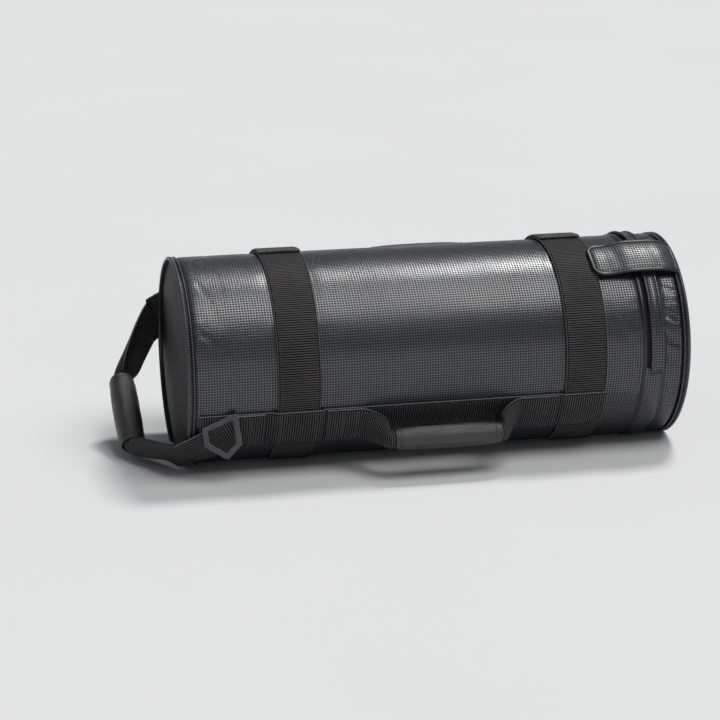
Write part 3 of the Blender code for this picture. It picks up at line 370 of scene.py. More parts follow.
def cover_tube(name, left, right, folded, node):
    angles = steps(0.0, 2 * pi, ROUND_STEPS)

    def flat_row(x):
        return [(x, angle * BODY_RADIUS) for angle in angles]

    xs = tube_stations(left, right)
    outside = [[round_bag(x, angle, cover_radius(x, angle), band_floor(x)) for angle in angles] for x in xs]
    inside = []
    inside_xs = (right, right - HEM_ROUNDING, left + HEM_ROUNDING, left)
    for x in inside_xs:
        edge = min(cover_radius(x, 0.0), BODY_RADIUS - 0.0005) - SKIN
        inside.append([round_bag(x, angle, edge, BAND_PRESS + SKIN) for angle in angles])
    grids = [(outside, [flat_row(x) for x in xs]), (inside, [flat_row(x) for x in inside_xs])]
    for x, row, following in ((xs[-1], outside[-1], inside[0]), (xs[0], inside[-1], outside[0])):
        grids.append(([row, following], [flat_row(x), flat_row(x + SKIN)]))
    tube = sew(name, grids, [cover_vinyl, folded_vinyl], "bag", second=folded)
    stands_for(tube, node)


def in_sleeve_fold(spot):
    return spot.x > SLEEVE_RIGHT - WELT_WIDTH


def in_collar_fold(spot):
    return spot.x < COLLAR_LEFT + WELT_WIDTH


cover_tube("cover_sleeve", SLEEVE_LEFT, SLEEVE_RIGHT, in_sleeve_fold, "body_sleeve")
cover_tube("cover_collar", COLLAR_LEFT, COLLAR_RIGHT, in_collar_fold, "end_collar")

# End discs
# Round panels of the same embossed vinyl close both ends. The filling pushes them out a little, and
# the seam draws their rim in.
RIM_RADIUS = 0.1192
DISC_FACE_X = 0.2965
DISC_CROWN = 0.004
DISC_FLOOR = 0.0058
DISC_THICKNESS = 0.002
DISC_DENT = 0.0012
DISC_PUCKER = 0.0005
DISC_SHARES = [1.0, 1.0, 0.992, 0.98, 0.96, 0.93, 0.89, 0.84, 0.78, *steps(0.7, 0.0, 14)]
# The end vinyl's pit colour is painted shade as well.
end_vinyl = embossed_vinyl("Embossed end vinyl", (0.013, 0.013, 0.016), (0.0015, 0.0015, 0.002), 0.52, 0.17)


def end_disc(prefix, side):
    points = []
    for index, share in enumerate(DISC_SHARES):
        row = []
        for angle in steps(0.0, 2 * pi, ROUND_STEPS // 2):
            dent = DISC_DENT * lump(side * 4.7, angle, 2.6 * share)
            pucker = DISC_PUCKER * sin(52 * angle + 3 * sin(5 * angle)) * ridge(1 - share, 0.06)
            x = DISC_FACE_X + DISC_CROWN * (1 - share * share) - (abs(dent) + abs(pucker)) * (share < 0.999)
            if index == 0:
                x -= DISC_THICKNESS
            row.append(round_bag(side * x, angle, RIM_RADIUS * share, DISC_FLOOR * share))
        points.append(row)
    flat = [[(-point.y, point.z) for point in row] for row in points]
    disc = sew(prefix + "_end_disc", [(points, flat)], [end_vinyl], "bag")
    stands_for(disc, prefix + "_end_panel")


end_disc("left", -1)
end_disc("right", 1)

# Rim lips and their stitching
# Tube and disc are sewn together edge to edge, and the raw edges are bound in a turned strip of plain
# vinyl. The seam pulls it into two rolls with a groove between, each whipped over with heavy thread.
LIP_SECTION = [
    (0.2920, 0.1198), (0.2921, 0.1214), (0.2925, 0.1222), (0.2932, 0.1226), (0.2940, 0.1225),
    (0.2947, 0.1218), (0.2952, 0.1208), (0.2957, 0.1204), (0.2962, 0.1208), (0.2968, 0.1219),
    (0.2976, 0.1226), (0.2986, 0.1228), (0.2996, 0.1225), (0.3005, 0.1217), (0.3010, 0.1207),
    (0.3006, 0.1197), (0.2980, 0.1195), (0.2945, 0.1195), (0.2920, 0.1198),
]
LIP_OUT = 0.1228
WHIP_STITCHES = 250
WHIP_ROWS = ((0.2967, 0.3002, 0.1226), (0.2924, 0.2942, 0.1225))
WHIP_HALF = 0.00055
WHIP_SINK = 0.0002
WHIP_SLANT = 0.015
LIP_WAVE = 0.00035
THREAD_HALF = 0.00042
STITCH_FILL = 0.68


def bonded_thread(name, colour):
    material = new_material(name, Roughness=0.5, Sheen_Weight=0.3, Specular_IOR_Level=0.5)
    twist = cloudy(material, 2600.0, 1.0)
    join(material, Base_Color=mottled(twist, colour, 2.2), Normal=raised(twist, 0.00008))
    return material


black_thread = bonded_thread("Bonded black thread", (0.025, 0.025, 0.028))
rim_thread = bonded_thread("Waxed rim thread", (0.085, 0.085, 0.097))


def stitching(name, seams, body, thread=black_thread, half=THREAD_HALF, fill=STITCH_FILL):
    """Rows of single stitches. A seam is a list of (point, way out) pairs, one stitch between each two."""
    bm = bmesh.new()
    for seam in seams:
        for (start, out), (end, _) in zip(seam, seam[1:]):
            if min(start.z, end.z) < 2 * half:
                continue
            reach = (end - start) * fill
            side = reach.cross(out).normalized() * half
            poles = [bm.verts.new(start + reach * share - out * half * 0.8) for share in (0, 1)]
            rings = []
            for share in (0.22, 0.78):
                middle = start + reach * share
                offsets = (side, out * half, -side, -out * half)
                rings.append([bm.verts.new(middle + offset) for offset in offsets])
            for k in range(4):
                after = (k + 1) % 4
                bm.faces.new((poles[0], rings[0][after], rings[0][k]))
                bm.faces.new((rings[0][k], rings[0][after], rings[1][after], rings[1][k]))
                bm.faces.new((rings[1][k], rings[1][after], poles[1]))
    bmesh.ops.recalc_face_normals(bm, faces=bm.faces)
    return finished(name, bm, [thread], body)


def rim_lip(prefix, side):
    angles = steps(0.0, 2 * pi, 2 * ROUND_STEPS)
    points, flat = [], []
    for station, (x, radius) in enumerate(LIP_SECTION):
        row = []
        for angle in angles:
            wave = LIP_WAVE * sin(WHIP_STITCHES * angle + 900 * x) * eased((radius - 0.1205) / 0.002)
            row.append(round_bag(side * x, angle, radius - abs(wave), max(0.0, LIP_OUT - radius)))
        points.append(row)
        flat.append([(station * 0.0012, angle * LIP_OUT) for angle in angles])
    lip = sew(prefix + "_rim_lip", [(points, flat)], [folded_vinyl], "bag")
    stands_for(lip, prefix + "_seam_piping")
    over = []
    for first, second, radius in WHIP_ROWS:
        for index in range(WHIP_STITCHES):
            angle = 2 * pi * index / WHIP_STITCHES
            over.append([
                (round_bag(side * x, turn, radius - WHIP_SINK, LIP_OUT - radius + 0.0006), outward(angle))
                for x, turn in ((first, angle), (second, angle + WHIP_SLANT))
            ])
    stitching(prefix + "_rim_lip_thread", over, "bag", rim_thread, WHIP_HALF, 1.0)


rim_lip("left", -1)
rim_lip("right", 1)

# Filling
# A foam sleeve and two foam discs keep the bag round, and three short pouches of filter cloth hold
# the sand. They are packed in through the zip and only lie in place.
FOAM_LEFT = -0.2836
FOAM_RIGHT = 0.2318
FOAM_OUTSIDE = (0.1198, 0.0046)
FOAM_INSIDE = (0.1161, 0.0083)
FOAM_DISC_X = 0.2892
FOAM_DISC_HALF = 0.0048
FOAM_DISC_RADIUS = 0.1175
FOAM_LUMPS = 0.0003
POUCH_PITCH = (0.2842 * 2 - 0.0006) / 3
POUCH_GAP = 0.0014
POUCH_RADIUS = 0.1150
POUCH_ROUNDING = 0.022
POUCH_DROP = 0.0185
POUCH_LUMPS = 0.0025


def soft_foam(name, colour):
    material = new_material(name, Roughness=0.92)
    place = {"Scale": 900.0, "Vector": grain_place(material)}
    cells = add_node(material.node_tree, "ShaderNodeTexVoronoi", place).outputs["Distance"]
    join(material, Base_Color=mottled(cloudy(material, 40.0), colour, 1.3), Normal=raised(cells, 0.0003))
    return material


def ribs(axis, frequency):
    """Even ribs across one direction of a cloth, from 0 in the gaps to 1 on the ribs."""
    return maths("ABSOLUTE", maths("SINE", maths("MULTIPLY", axis, frequency)))


def filter_cloth(name, colour):
    material = new_material(name, Roughness=0.8, Sheen_Weight=0.2)
    weave = maths("MULTIPLY", *[ribs(axis, 2600.0) for axis in cloth_axes(material)])
    folds = maths("ADD", weave, cloudy(material, 90.0, 4.0))
    join(material, Base_Color=mottled(weave, colour, 1.8), Normal=raised(folds, 0.0003))
    return material


grey_foam = soft_foam("Grey foam", (0.25, 0.25, 0.26))
sand_cloth = filter_cloth("Sand pouch cloth", (0.10, 0.10, 0.11))


def loft(name, stations, material, node, depth, seed):
    """A soft round piece inside the bag through (x, radius, floor) stations."""
    angles = steps(0.0, 2 * pi, 96)
    points, flat = [], []
    for x, radius, floor in stations:
        row = []
        for angle in angles:
            dip = depth * abs(lump(seed + x * 30, angle, 3))
            row.append(round_bag(x, angle, max(0.0, radius - dip), floor))
        points.append(row)
        flat.append([(x + radius, angle * 0.12) for angle in angles])
    stands_for(sew(name, [(points, flat)], [material], "bag"), node)


def capped(stations):
    return [(stations[0][0], 0.0, AXIS_HEIGHT), *stations, (stations[-1][0], 0.0, AXIS_HEIGHT)]


lining = [(x, *FOAM_OUTSIDE) for x in steps(FOAM_LEFT, FOAM_RIGHT, 40)]
lining += [(x, *FOAM_INSIDE) for x in steps(FOAM_RIGHT, FOAM_LEFT, 40)]
loft("foam_sleeve", [*lining, lining[0]], grey_foam, "foam_lining", FOAM_LUMPS, 3.0)
for side, name in ((-1, "left_foam_disc"), (1, "right_foam_disc")):
    rounds = []
    for s in steps(-1.0, 1.0, 10):
        drop = 0.0025 * s * s
        x = side * (FOAM_DISC_X + FOAM_DISC_HALF * s)
        rounds.append((x, FOAM_DISC_RADIUS - drop, 0.0079 + drop))
    loft(name + "_pad", capped(rounds), grey_foam, name, FOAM_LUMPS, 5.0)
for index in range(3):
    stations = []
    for s in steps(0.0, 1.0, 44):
        x = FOAM_LEFT + POUCH_PITCH * index + 0.0004 + (POUCH_PITCH - POUCH_GAP) * s
        drop = POUCH_DROP * (1 - rounded(min(s, 1 - s) * POUCH_PITCH / POUCH_ROUNDING))
        stations.append((x, POUCH_RADIUS - drop, 0.0090 + drop))
    name = "sand_pouch_%d" % (index + 1)
    loft(name + "_cloth", capped(stations), sand_cloth, name, POUCH_LUMPS, 11.0 * index)

# Girth bands
# Two lengths of ribbed polypropylene webbing go round the bag. Each starts under its own overlap and
# ends just past the top in a folded lip. A dotted row of stitches holds both edges to the cover.
WEBBING_HALF = 0.025
WEBBING = 0.0023
RIB_PITCH = 0.0028
YARN_PITCH = 0.0021
SELVEDGE = 0.0026
STITCH_LINES = (-0.0222, 0.0222)
STITCH_PITCH = 0.0026
BAR_STITCHES = 17
BAND_IN = 0.1223
LAP_IN = 0.1249
BAND_START = radians(-36)
LAP_START = radians(312)
LAP_FULL = radians(321.6)
LIP_START = radians(356.4)
LIP_END = radians(362)
LIP_LAYERS = 0.6
FIRST_STITCH = radians(2.6)
BARS_FROM_LIP = (0.030, -0.012, -0.20)
EDGE_SHARES = (0.25, 0.5, 0.75, 0.9, 0.95, 0.975, 0.992, 1.0)
WIDTH_SHARES = (*[-share for share in reversed(EDGE_SHARES)], 0.0, *EDGE_SHARES)


def ribbed_webbing(
    name, dark, light, painted_edge_highlight, roughness, half=WEBBING_HALF, selvedge=SELVEDGE, pitch=RIB_PITCH
):
    """Woven band: cross ribs of short floats, set off from row to row, and a tight selvedge. Painted shade
    darkens the gaps between ribs and the groove by the selvedge, and a painted highlight lightens the
    outermost yarns.
    """
    material = new_material(name, Specular_IOR_Level=0.24, Sheen_Weight=0.02, Sheen_Roughness=0.4)
    across, along = cloth_axes(material)
    rows = maths("DIVIDE", along, pitch)
    shift = maths("MULTIPLY", maths("FLOOR", rows), 0.5)
    floats = ribs(maths("ADD", maths("DIVIDE", across, YARN_PITCH), shift), pi)
    rib = mapped(ribs(rows, pi), 0.35, 0.95, smooth=True)
    weave = maths("MULTIPLY", rib, mapped(floats, 0.0, 0.8, 0.3, 1.0))
    edge = maths("ABSOLUTE", across)
    groove_start = mapped(edge, half - selvedge, half - 0.7 * selvedge, smooth=True)
    groove_end = mapped(edge, half - 0.54 * selvedge, half - 0.23 * selvedge, 1.0, 0.0, smooth=True)
    groove = maths("MULTIPLY", groove_start, groove_end)
    # Outermost yarns along both edges: a lighter colour as painted highlight, kept non-metallic.
    highlight_edge_band = mapped(edge, half - 0.0009, half - 0.0003)
    tone = maths("MULTIPLY", weave, mapped(cloudy(material, 14.0), 0.3, 0.7, 0.75, 1.1))
    # Darker colour in the groove by the selvedge: painted shade.
    painted_groove_shade = [0.35 * part for part in dark]
    shaded = tinted(maths("MULTIPLY", groove, 0.75), tinted(tone, dark, light), painted_groove_shade)
    height = maths("SUBTRACT", weave, maths("MULTIPLY", groove, 1.2))
    # Gaps between ribs: painted shade, from the near-black first colour and metallic where the weave is
    # low.
    join(
        material,
        Base_Color=tinted(highlight_edge_band, shaded, painted_edge_highlight),
        Roughness=mapped(weave, 0.0, 1.0, roughness + 0.3, roughness),
        Metallic=mapped(maths("MAXIMUM", weave, highlight_edge_band), 0.0, 0.45, 0.85, 0.0),
        Normal=raised(height, 0.0009, raised(cloudy(material, 2300.0, 2.0), 0.00006)),
    )
    return material


def crushed_webbing(name, dark, light):
    """Webbing where it is folded hard and sealed: the ribs are crushed, and light specks in its colour are
    painted glints.
    """
    material = new_material(name, Specular_IOR_Level=0.5, Roughness=0.45)
    specks = cloudy(material, 620.0, 3.0, 0.7, (1.0, 1.6, 1.6))
    rib = ribs(cloth_axes(material)[1], pi / RIB_PITCH)
    tone = mapped(maths("ADD", specks, maths("MULTIPLY", rib, 0.12)), 0.48, 0.66)
    join(material, Base_Color=tinted(tone, dark, light), Normal=raised(specks, 0.0016))
    return material


# First colour: painted shade in the rib gaps. Last colour: painted highlight along both edges.
band_webbing = ribbed_webbing(
    "Ribbed band webbing", (0.0008, 0.0008, 0.0009), (0.135, 0.128, 0.129), (0.20, 0.20, 0.20), 0.5
)
# The lighter colour is painted glints on the crushed lip.
folded_webbing = crushed_webbing("Folded band webbing", (0.002, 0.002, 0.002), (0.15, 0.142, 0.143))


def slab(outer, inner, flat):
    """Grids of a thin strip: both faces, both ends and both edges."""
    grids = [(outer, flat), (inner, flat)]
    for k in (0, -1):
        grids.append(([outer[k], inner[k]], [flat[k], flat[k]]))
        sides = [[row[k] for row in face] for face in (outer, inner)]
        grids.append((sides, [[row[k] for row in flat]] * 2))
    return grids


def webbing_strip(
    name, place, stations, materials, body, half=WEBBING_HALF, thickness=WEBBING, tucked=True, second=None
):
    """Woven strip with rounded selvedges. place(station, across, height) is a point above its underside."""
    widths = [half * share for share in WIDTH_SHARES]
    middles = [place(station, 0.0, thickness / 2) for station in stations]
    lengths = [0.0]
    for first, following in zip(middles, middles[1:]):
        lengths.append(lengths[-1] + (following - first).length)
    faces, flat = ([], []), []
    for station, length in zip(stations, lengths):
        end = min(length, lengths[-1] - length) / thickness * 1.6 if tucked else 1.0
        end = max(0.45, rounded(end))
        rows = ([], [])
        for width in widths:
            into = max(0.0, (abs(width) - (half - thickness * 0.5)) / (thickness * 0.5))
            full = end * max(0.16, rounded(1 - into))
            for row, way in zip(rows, (1, -1)):
                row.append(place(station, width, thickness / 2 * (1 + way * full)))
        for face, row in zip(faces, rows):
            face.append(row)
        flat.append([(width, length) for width in widths])
    return sew(name, slab(*faces, flat), materials, body, second=second)


def band_inner(angle):
    return BAND_IN + (LAP_IN - BAND_IN) * eased((angle - LAP_START) / (LAP_FULL - LAP_START))


def in_lip(place):
    """Whether a spot on a band lies on its folded lip, on top of the bag."""
    turn = atan2(-place.y, place.z - AXIS_HEIGHT)
    high = hypot(place.y, place.z - AXIS_HEIGHT) > LAP_IN + 0.0004
    return LIP_START - 2 * pi < turn < 0.1 and high


def bar(stitch, along):
    """A row of stitches straight across the webbing."""
    return [stitch(along, across) for across in steps(*STITCH_LINES, BAR_STITCHES)]


def girth_band(prefix, centre):
    def place(angle, across, height):
        ripple = 0.00025 * sin(23 * angle + centre * 40) * (across / BAND_HALF) ** 2
        folded = eased((angle - LIP_START) / 0.02)
        rough = 0.0009 * abs(noise.noise(Vector((across * 260, angle * 60, centre))))
        rough += 0.0005 * sin(across * 1500) ** 2
        height = height * (1 + LIP_LAYERS * folded)
        ripple = abs(ripple) + rough * folded * height / WEBBING
        radius = band_inner(angle) + height - ripple
        return round_bag(centre + across, angle, radius, max(0.0, WEBBING - height))

    def stitch(angle, across, height=WEBBING):
        return (place(angle, across, height), outward(angle))

    angles = steps(BAND_START, LAP_START, 130) + steps(LAP_START, LIP_START, 24)[1:]
    angles += steps(LIP_START, LIP_END, 14)[1:]
    cloths = [band_webbing, folded_webbing]
    band = webbing_strip(prefix + "_band", place, angles, cloths, "bag", second=in_lip)
    stands_for(band, prefix + "_girth_band")
    round_rows = steps(FIRST_STITCH, LIP_START, 320)
    seams = [[stitch(angle, across, WEBBING - 0.0001) for angle in round_rows] for across in STITCH_LINES]
    seams += [bar(stitch, LIP_START + ahead) for ahead in BARS_FROM_LIP]
    stitching(prefix + "_band_thread", seams, "bag")


girth_band("left", -BAND_CENTRE)
girth_band("right", BAND_CENTRE)

# Carrying straps
# Two straight lengths of the same webbing run along the bag over both bands, in front and behind.
# They are sewn down at the bands and at their ends, and carry the side handles.
STRAP_ANGLE = radians(118)
BACK_ANGLE = STRAP_ANGLE + pi
STRAP_LEFT = -0.288
STRAP_RAMP = 0.0058
BAR_HALF = 0.021
BAR_OFF = 0.0215


def strap_inner(x):
    gap = abs(abs(x) - BAND_CENTRE) - BAND_HALF - 0.0006
    if x > BAND_CENTRE:
        gap = min(gap, 0.0)
    return BAND_IN + (LAP_IN - BAND_IN) * (1 - eased(gap / STRAP_RAMP))


def carrying_strap(prefix, centre_angle):
    def place(x, across, height):
        return round_bag(x, centre_angle + across / BODY_RADIUS, strap_inner(x) + height)

    def row(start, end, count):
        spots = zip(steps(start[0], end[0], count), steps(start[1], end[1], count))
        return [(place(x, w, WEBBING), outward(centre_angle + w / BODY_RADIUS)) for x, w in spots]

    stations = [STRAP_LEFT + run for run in (0.0, 0.0004, 0.001, 0.002, 0.004)]
    stations += steps(-0.276, 0.190, 170) + [0.193, 0.195, 0.196, 0.1966, STRAP_END]
    strap = webbing_strip(prefix + "_carrying_strap", place, stations, [band_webbing], "bag")
    stands_for(strap, prefix + "_strap")
    seams = [row((STRAP_LEFT + 0.004, w), (STRAP_END - 0.003, w), 190) for w in STITCH_LINES]
    for centre in (-BAND_CENTRE, BAND_CENTRE):
        seams += [row((x, -BAR_HALF), (x, BAR_HALF), 16) for x in (centre - BAR_OFF, centre + BAR_OFF)]
    stitching(prefix + "_strap_thread", seams, "bag")


carrying_strap("front", STRAP_ANGLE)
carrying_strap("back", BACK_ANGLE)

# Side handles
# Each handle is one webbing strip sewn flat on the strap. Between its tails it rises, curls round a
# foam core and is closed in a padded sleeve, stitched along its underside. Both fall forward a little.
HANDLE_OUT = 0.12605
HANDLE_SPAN = 0.196
HANDLE_STANDOFF = 0.036
GRIP_LENGTH = 0.126
GRIP_RADIUS = 0.0142
GRIP_BORE = 0.0111
GRIP_BINDING = 0.0062
GRIP_ROUNDING = 0.0055
GRIP_TAPER = 0.0024
GRIP_LUMPS = 0.0006
GRIP_SEAM = 0.0007
GRIP_SWELL = 0.0011
BORE_FLARE = 0.0009
WRAP_RADIUS = 0.00945
CORE_RADIUS = 0.0075
LEG_LEAD = 0.003
TAIL_END = 0.1391
FLAT_CURL = 1 / HANDLE_OUT
WRAP_CURL = 1 / WRAP_RADIUS
AXIS = Vector((0.0, 0.0, AXIS_HEIGHT))
SWELL_PRESSURE = 4.0
SWELL_STIFFNESS = 5.0
SWELL_FRAMES = 20


def handle_axes(angle, lean):
    """The ways out of the strap and across it, for a handle that leans by an angle."""
    side = Vector((0.0, -cos(angle), -sin(angle)))
    away = outward(angle)
    return side * sin(lean) + away * cos(lean), side * cos(lean) - away * sin(lean)


def handle_place(angle, lean, x, lift):
    return AXIS + Vector((x, 0.0, 0.0)) + outward(angle) * HANDLE_OUT + handle_axes(angle, lean)[0] * lift


def curled(frame_at, across, height):
    """A point of webbing whose width curls round, by its distance across and above its underside."""
    middle, side, out, curvature = frame_at
    turn = across * curvature
    offset = side * (sin(turn) / curvature) - out * ((1 - cos(turn)) / curvature)
    return middle + offset + (out * cos(turn) + side * sin(turn)) * (height - WEBBING / 2)


def handle_frames(angle, lean, centre):
    """Middle, side, way out and curl of the webbing at each station from tail to tail."""
    leg_run = (HANDLE_SPAN - GRIP_LENGTH) / 2 - LEG_LEAD
    leg = []
    for share in steps(0.0, 1.0, 26):
        leg.append((share * leg_run, eased(share), FLAT_CURL + (WRAP_CURL - FLAT_CURL) * share**1.5))
    leg.append((leg_run + LEG_LEAD, 1.0, WRAP_CURL))
    left, right = centre - HANDLE_SPAN / 2, centre + HANDLE_SPAN / 2
    tail = [TAIL_END - run for run in (0.0, 0.0005, 0.0015, 0.004)]
    path = [(x, 0.0, FLAT_CURL) for x in (*[-x for x in tail], -0.12, left - 0.004)]
    path += [(left + run, rise, curl) for run, rise, curl in leg]
    path += [(x, 1.0, WRAP_CURL) for x in steps(left + leg_run + 0.008, right - leg_run - 0.008, 8)]
    path += [(right - run, rise, curl) for run, rise, curl in reversed(leg)]
    path += [(x, 0.0, FLAT_CURL) for x in (right + 0.004, *reversed(tail))]
    full = HANDLE_STANDOFF + WRAP_RADIUS
    middles = [handle_place(angle, lean, x, full * rise) for x, rise, _ in path]
    frames = []
    for index, (_, rise, curl) in enumerate(path):
        away, side = handle_axes(angle, lean * rise)
        before, after = middles[max(index - 1, 0)], middles[min(index + 1, len(path) - 1)]
        normal = (after - before).normalized().cross(side)
        if normal.dot(away) < 0:
            normal = -normal
        normal = normal.lerp(away, min(1.0, curl * WRAP_RADIUS) ** 1.5).normalized()
        frames.append((middles[index], side, normal, curl))
    return frames


def handle_seams(flat_frame, centre):
    """Rows along both edges of the flat tails, and three bars across each tail."""
    out = flat_frame[2]

    def stitch(x, across):
        point = curled(flat_frame, across, WEBBING)
        return (Vector((x, point.y, point.z)), out)

    seams = []
    root = HANDLE_SPAN / 2 + 0.002
    for start, end in ((0.003 - TAIL_END, centre - root), (centre + root, TAIL_END - 0.003)):
        run = steps(start, end, max(2, int((end - start) / STITCH_PITCH)))
        seams += [[stitch(x, across) for x in run] for across in STITCH_LINES]
        seams += [bar(stitch, x) for x in (start, (start + end) / 2, end)]
    return seams


def grained_wrap(name, colour, roughness):
    """Fine-grained synthetic leather round the grips, a little glossier in some spots than in others."""
    material = new_material(name, Specular_IOR_Level=0.9)
    place = {"Scale": 1400.0, "Vector": grain_place(material)}
    grain = add_node(material.node_tree, "ShaderNodeTexVoronoi", place).outputs["Distance"]
    cloud = cloudy(material, 45.0)
    join(
        material,
        Base_Color=mottled(cloud, colour, 1.6),
        Roughness=mapped(cloud, 0.3, 0.7, roughness - 0.05, roughness + 0.1),
        Normal=raised(grain, 0.0003, raised(cloudy(material, 28.0, 2.0, 0.5), 0.0002)),
    )
    return material


grip_leather = grained_wrap("Grained grip wrap", (0.012, 0.0116, 0.013), 0.43)
core_foam = soft_foam("Black core foam", (0.05, 0.05, 0.053))


def swelled(piece, held, most):
    """Fill a sewn skin out by a short cloth simulation. Held points stay, and no point moves far."""
    vertices = piece.data.vertices
    before = [vertex.co.copy() for vertex in vertices]
    group = piece.vertex_groups.new(name="held")
    group.add([vertex.index for vertex in vertices if held(vertex.co)], 1.0, "REPLACE")
    cloth = piece.modifiers.new("Swell", "CLOTH")
    cloth.settings.quality = 6
    cloth.settings.vertex_group_mass = "held"
    cloth.settings.use_pressure = True
    cloth.settings.uniform_pressure_force = SWELL_PRESSURE
    for pull in ("tension", "compression", "shear"):
        setattr(cloth.settings, pull + "_stiffness", SWELL_STIFFNESS)
    cloth.settings.effector_weights.gravity = 0.0
    scene = bpy.context.scene
    for moment in range(1, SWELL_FRAMES + 1):
        scene.frame_set(moment)
    evaluated = piece.evaluated_get(bpy.context.evaluated_depsgraph_get())
    after = [vertex.co.copy() for vertex in evaluated.data.vertices]
    piece.modifiers.remove(cloth)
    piece.vertex_groups.remove(group)
    for vertex, start, end in zip(vertices, before, after):
        step = end - start
        if step.length > most:
            step *= most / step.length
        vertex.co = start + step
    piece.data.update()
    scene.frame_set(1)


def round_grip(centre, axes, run, turn, radius):
    """A point by its place along a grip and its turn from the grip's outer side."""
    direction, first, second = axes
    return centre + direction * run + (first * cos(turn) + second * sin(turn)) * radius


def grip_sleeve(prefix, centre, axes, length, radius, seed):
    """Padded sleeve: fullest in the middle, drawn in at the bound ends, closed by a seam underneath."""
    direction, first, second = axes
    turns = steps(0.0, 2 * pi, 72)
    half = length / 2
    bound = half - GRIP_BINDING
    points, flat = [], []
    for share in steps(-1.0, 1.0, 84):
        run, reach = share * half, abs(share) * half
        full = radius - GRIP_TAPER * abs(share) ** 3 - 0.0005 * ridge(reach - bound, 0.0008)
        full -= 0.0009 * (1 - rounded((half - reach) / GRIP_ROUNDING))
        row = []
        for turn in turns:
            dip = GRIP_LUMPS * abs(lump(seed + run * 45, turn, 1.3))
            seam = GRIP_SEAM * ridge(remainder(turn - pi, 2 * pi), 0.07)
            row.append(round_grip(centre, axes, run, turn, full - dip - seam))
        points.append(row)
        flat.append([(turn * radius, run) for turn in turns])
    for run, wider in ((half, BORE_FLARE), (half - 0.0008, 0.0), (0.0008 - half, 0.0), (-half, BORE_FLARE)):
        points.append([round_grip(centre, axes, run, turn, GRIP_BORE + wider) for turn in turns])
        flat.append([(turn * radius, run + 0.02) for turn in turns])
    sleeve = sew(prefix + "_sleeve", [([*points, points[0]], [*flat, flat[0]])], [grip_leather], prefix)

    def bound_down(place):
        run = (place - centre).dot(direction)
        out = place - centre - direction * run
        underneath = out.normalized().dot(first) < -0.985
        return abs(run) > bound - 0.0006 or out.length < GRIP_BORE + 0.0010 or underneath

    swelled(sleeve, bound_down, GRIP_SWELL)
    stands_for(sleeve, prefix + "_grip")
    runs = steps(0.008 - half, half - 0.008, int(length / 0.0042))
    seams = [[(round_grip(centre, axes, run, pi, radius - 0.0006), -first) for run in runs]]
    for run in (-bound, bound):
        row = []
        for turn in steps(0.0, 2 * pi, 30):
            out = first * cos(turn) + second * sin(turn)
            row.append((round_grip(centre, axes, run, turn, radius - 0.0014), out))
        seams.append(row)
    stitching(prefix + "_sleeve_thread", seams, prefix)


def grip_core(prefix, centre, axes, length):
    half = length / 2 - 0.006
    turns = steps(0.0, 2 * pi, 32)
    end = [(half, 0.0), (half, 0.0066), (half - 0.0009, 0.0074)]
    profile = [(-run, radius) for run, radius in end]
    profile += [(run, CORE_RADIUS) for run in steps(0.002 - half, half - 0.002, 12)] + end[::-1]
    points = [[round_grip(centre, axes, run, turn, radius) for turn in turns] for run, radius in profile]
    flat = [[(turn * CORE_RADIUS, run) for turn in turns] for run, _ in profile]
    core = sew(prefix + "_core", [(points, flat)], [core_foam], prefix)
    stands_for(core, prefix + "_grip_core")


def side_handle(prefix, angle, lean, centre, seed):
    frames = handle_frames(angle, lean, centre)

    def place(index, across, height):
        return curled(frames[index], across, height)

    web = webbing_strip(prefix + "_webbing", place, range(len(frames)), [band_webbing], None)
    thread = stitching(prefix + "_thread", handle_seams(frames[0], centre), None)
    start = handle_place(angle, 0.0, 0.0, 0.0015)
    end = handle_place(angle, lean, 0.0, HANDLE_STANDOFF * 0.75)
    for piece in (web, thread):
        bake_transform(piece)
    stands_for(web, prefix + "_web")
    middle = handle_place(angle, lean, centre, HANDLE_STANDOFF)
    axes = (Vector((1.0, 0.0, 0.0)), *handle_axes(angle, lean))
    grip_sleeve(prefix, middle, axes, GRIP_LENGTH, GRIP_RADIUS, seed)
    grip_core(prefix, middle, axes, GRIP_LENGTH)


side_handle("front_handle", STRAP_ANGLE, radians(-14), -0.003, 1.0)
side_handle("back_handle", BACK_ANGLE, radians(4), 0.032, 3.0)

# End handle
# A loop of webbing is sewn to both straps over the left end and droops past the rim. Its grip is a
# shorter, thicker padded sleeve.
END_TAIL_X = -0.2115
END_BEND_X = -0.240
END_GRIP_X = -0.352
END_RIM_DROP = 0.035
END_GRIP_DROP = 0.081
END_GRIP_LENGTH = 0.110
END_GRIP_RADIUS = 0.0166
END_OUT = 0.12605
DRAPE_LIFT = 0.0005
DRAPE_STEPS = 22
LEG_STEPS = 30
SPREAD_WAY = outward(STRAP_ANGLE)
ACROSS_WAY = Vector((0.0, SPREAD_WAY.z, -SPREAD_WAY.y))
LEFTWARD = Vector((-1.0, 0.0, 0.0))


def end_place(x, rise, spread):
    return Vector((x, 0.0, AXIS_HEIGHT)) + ACROSS_WAY * rise + SPREAD_WAY * spread


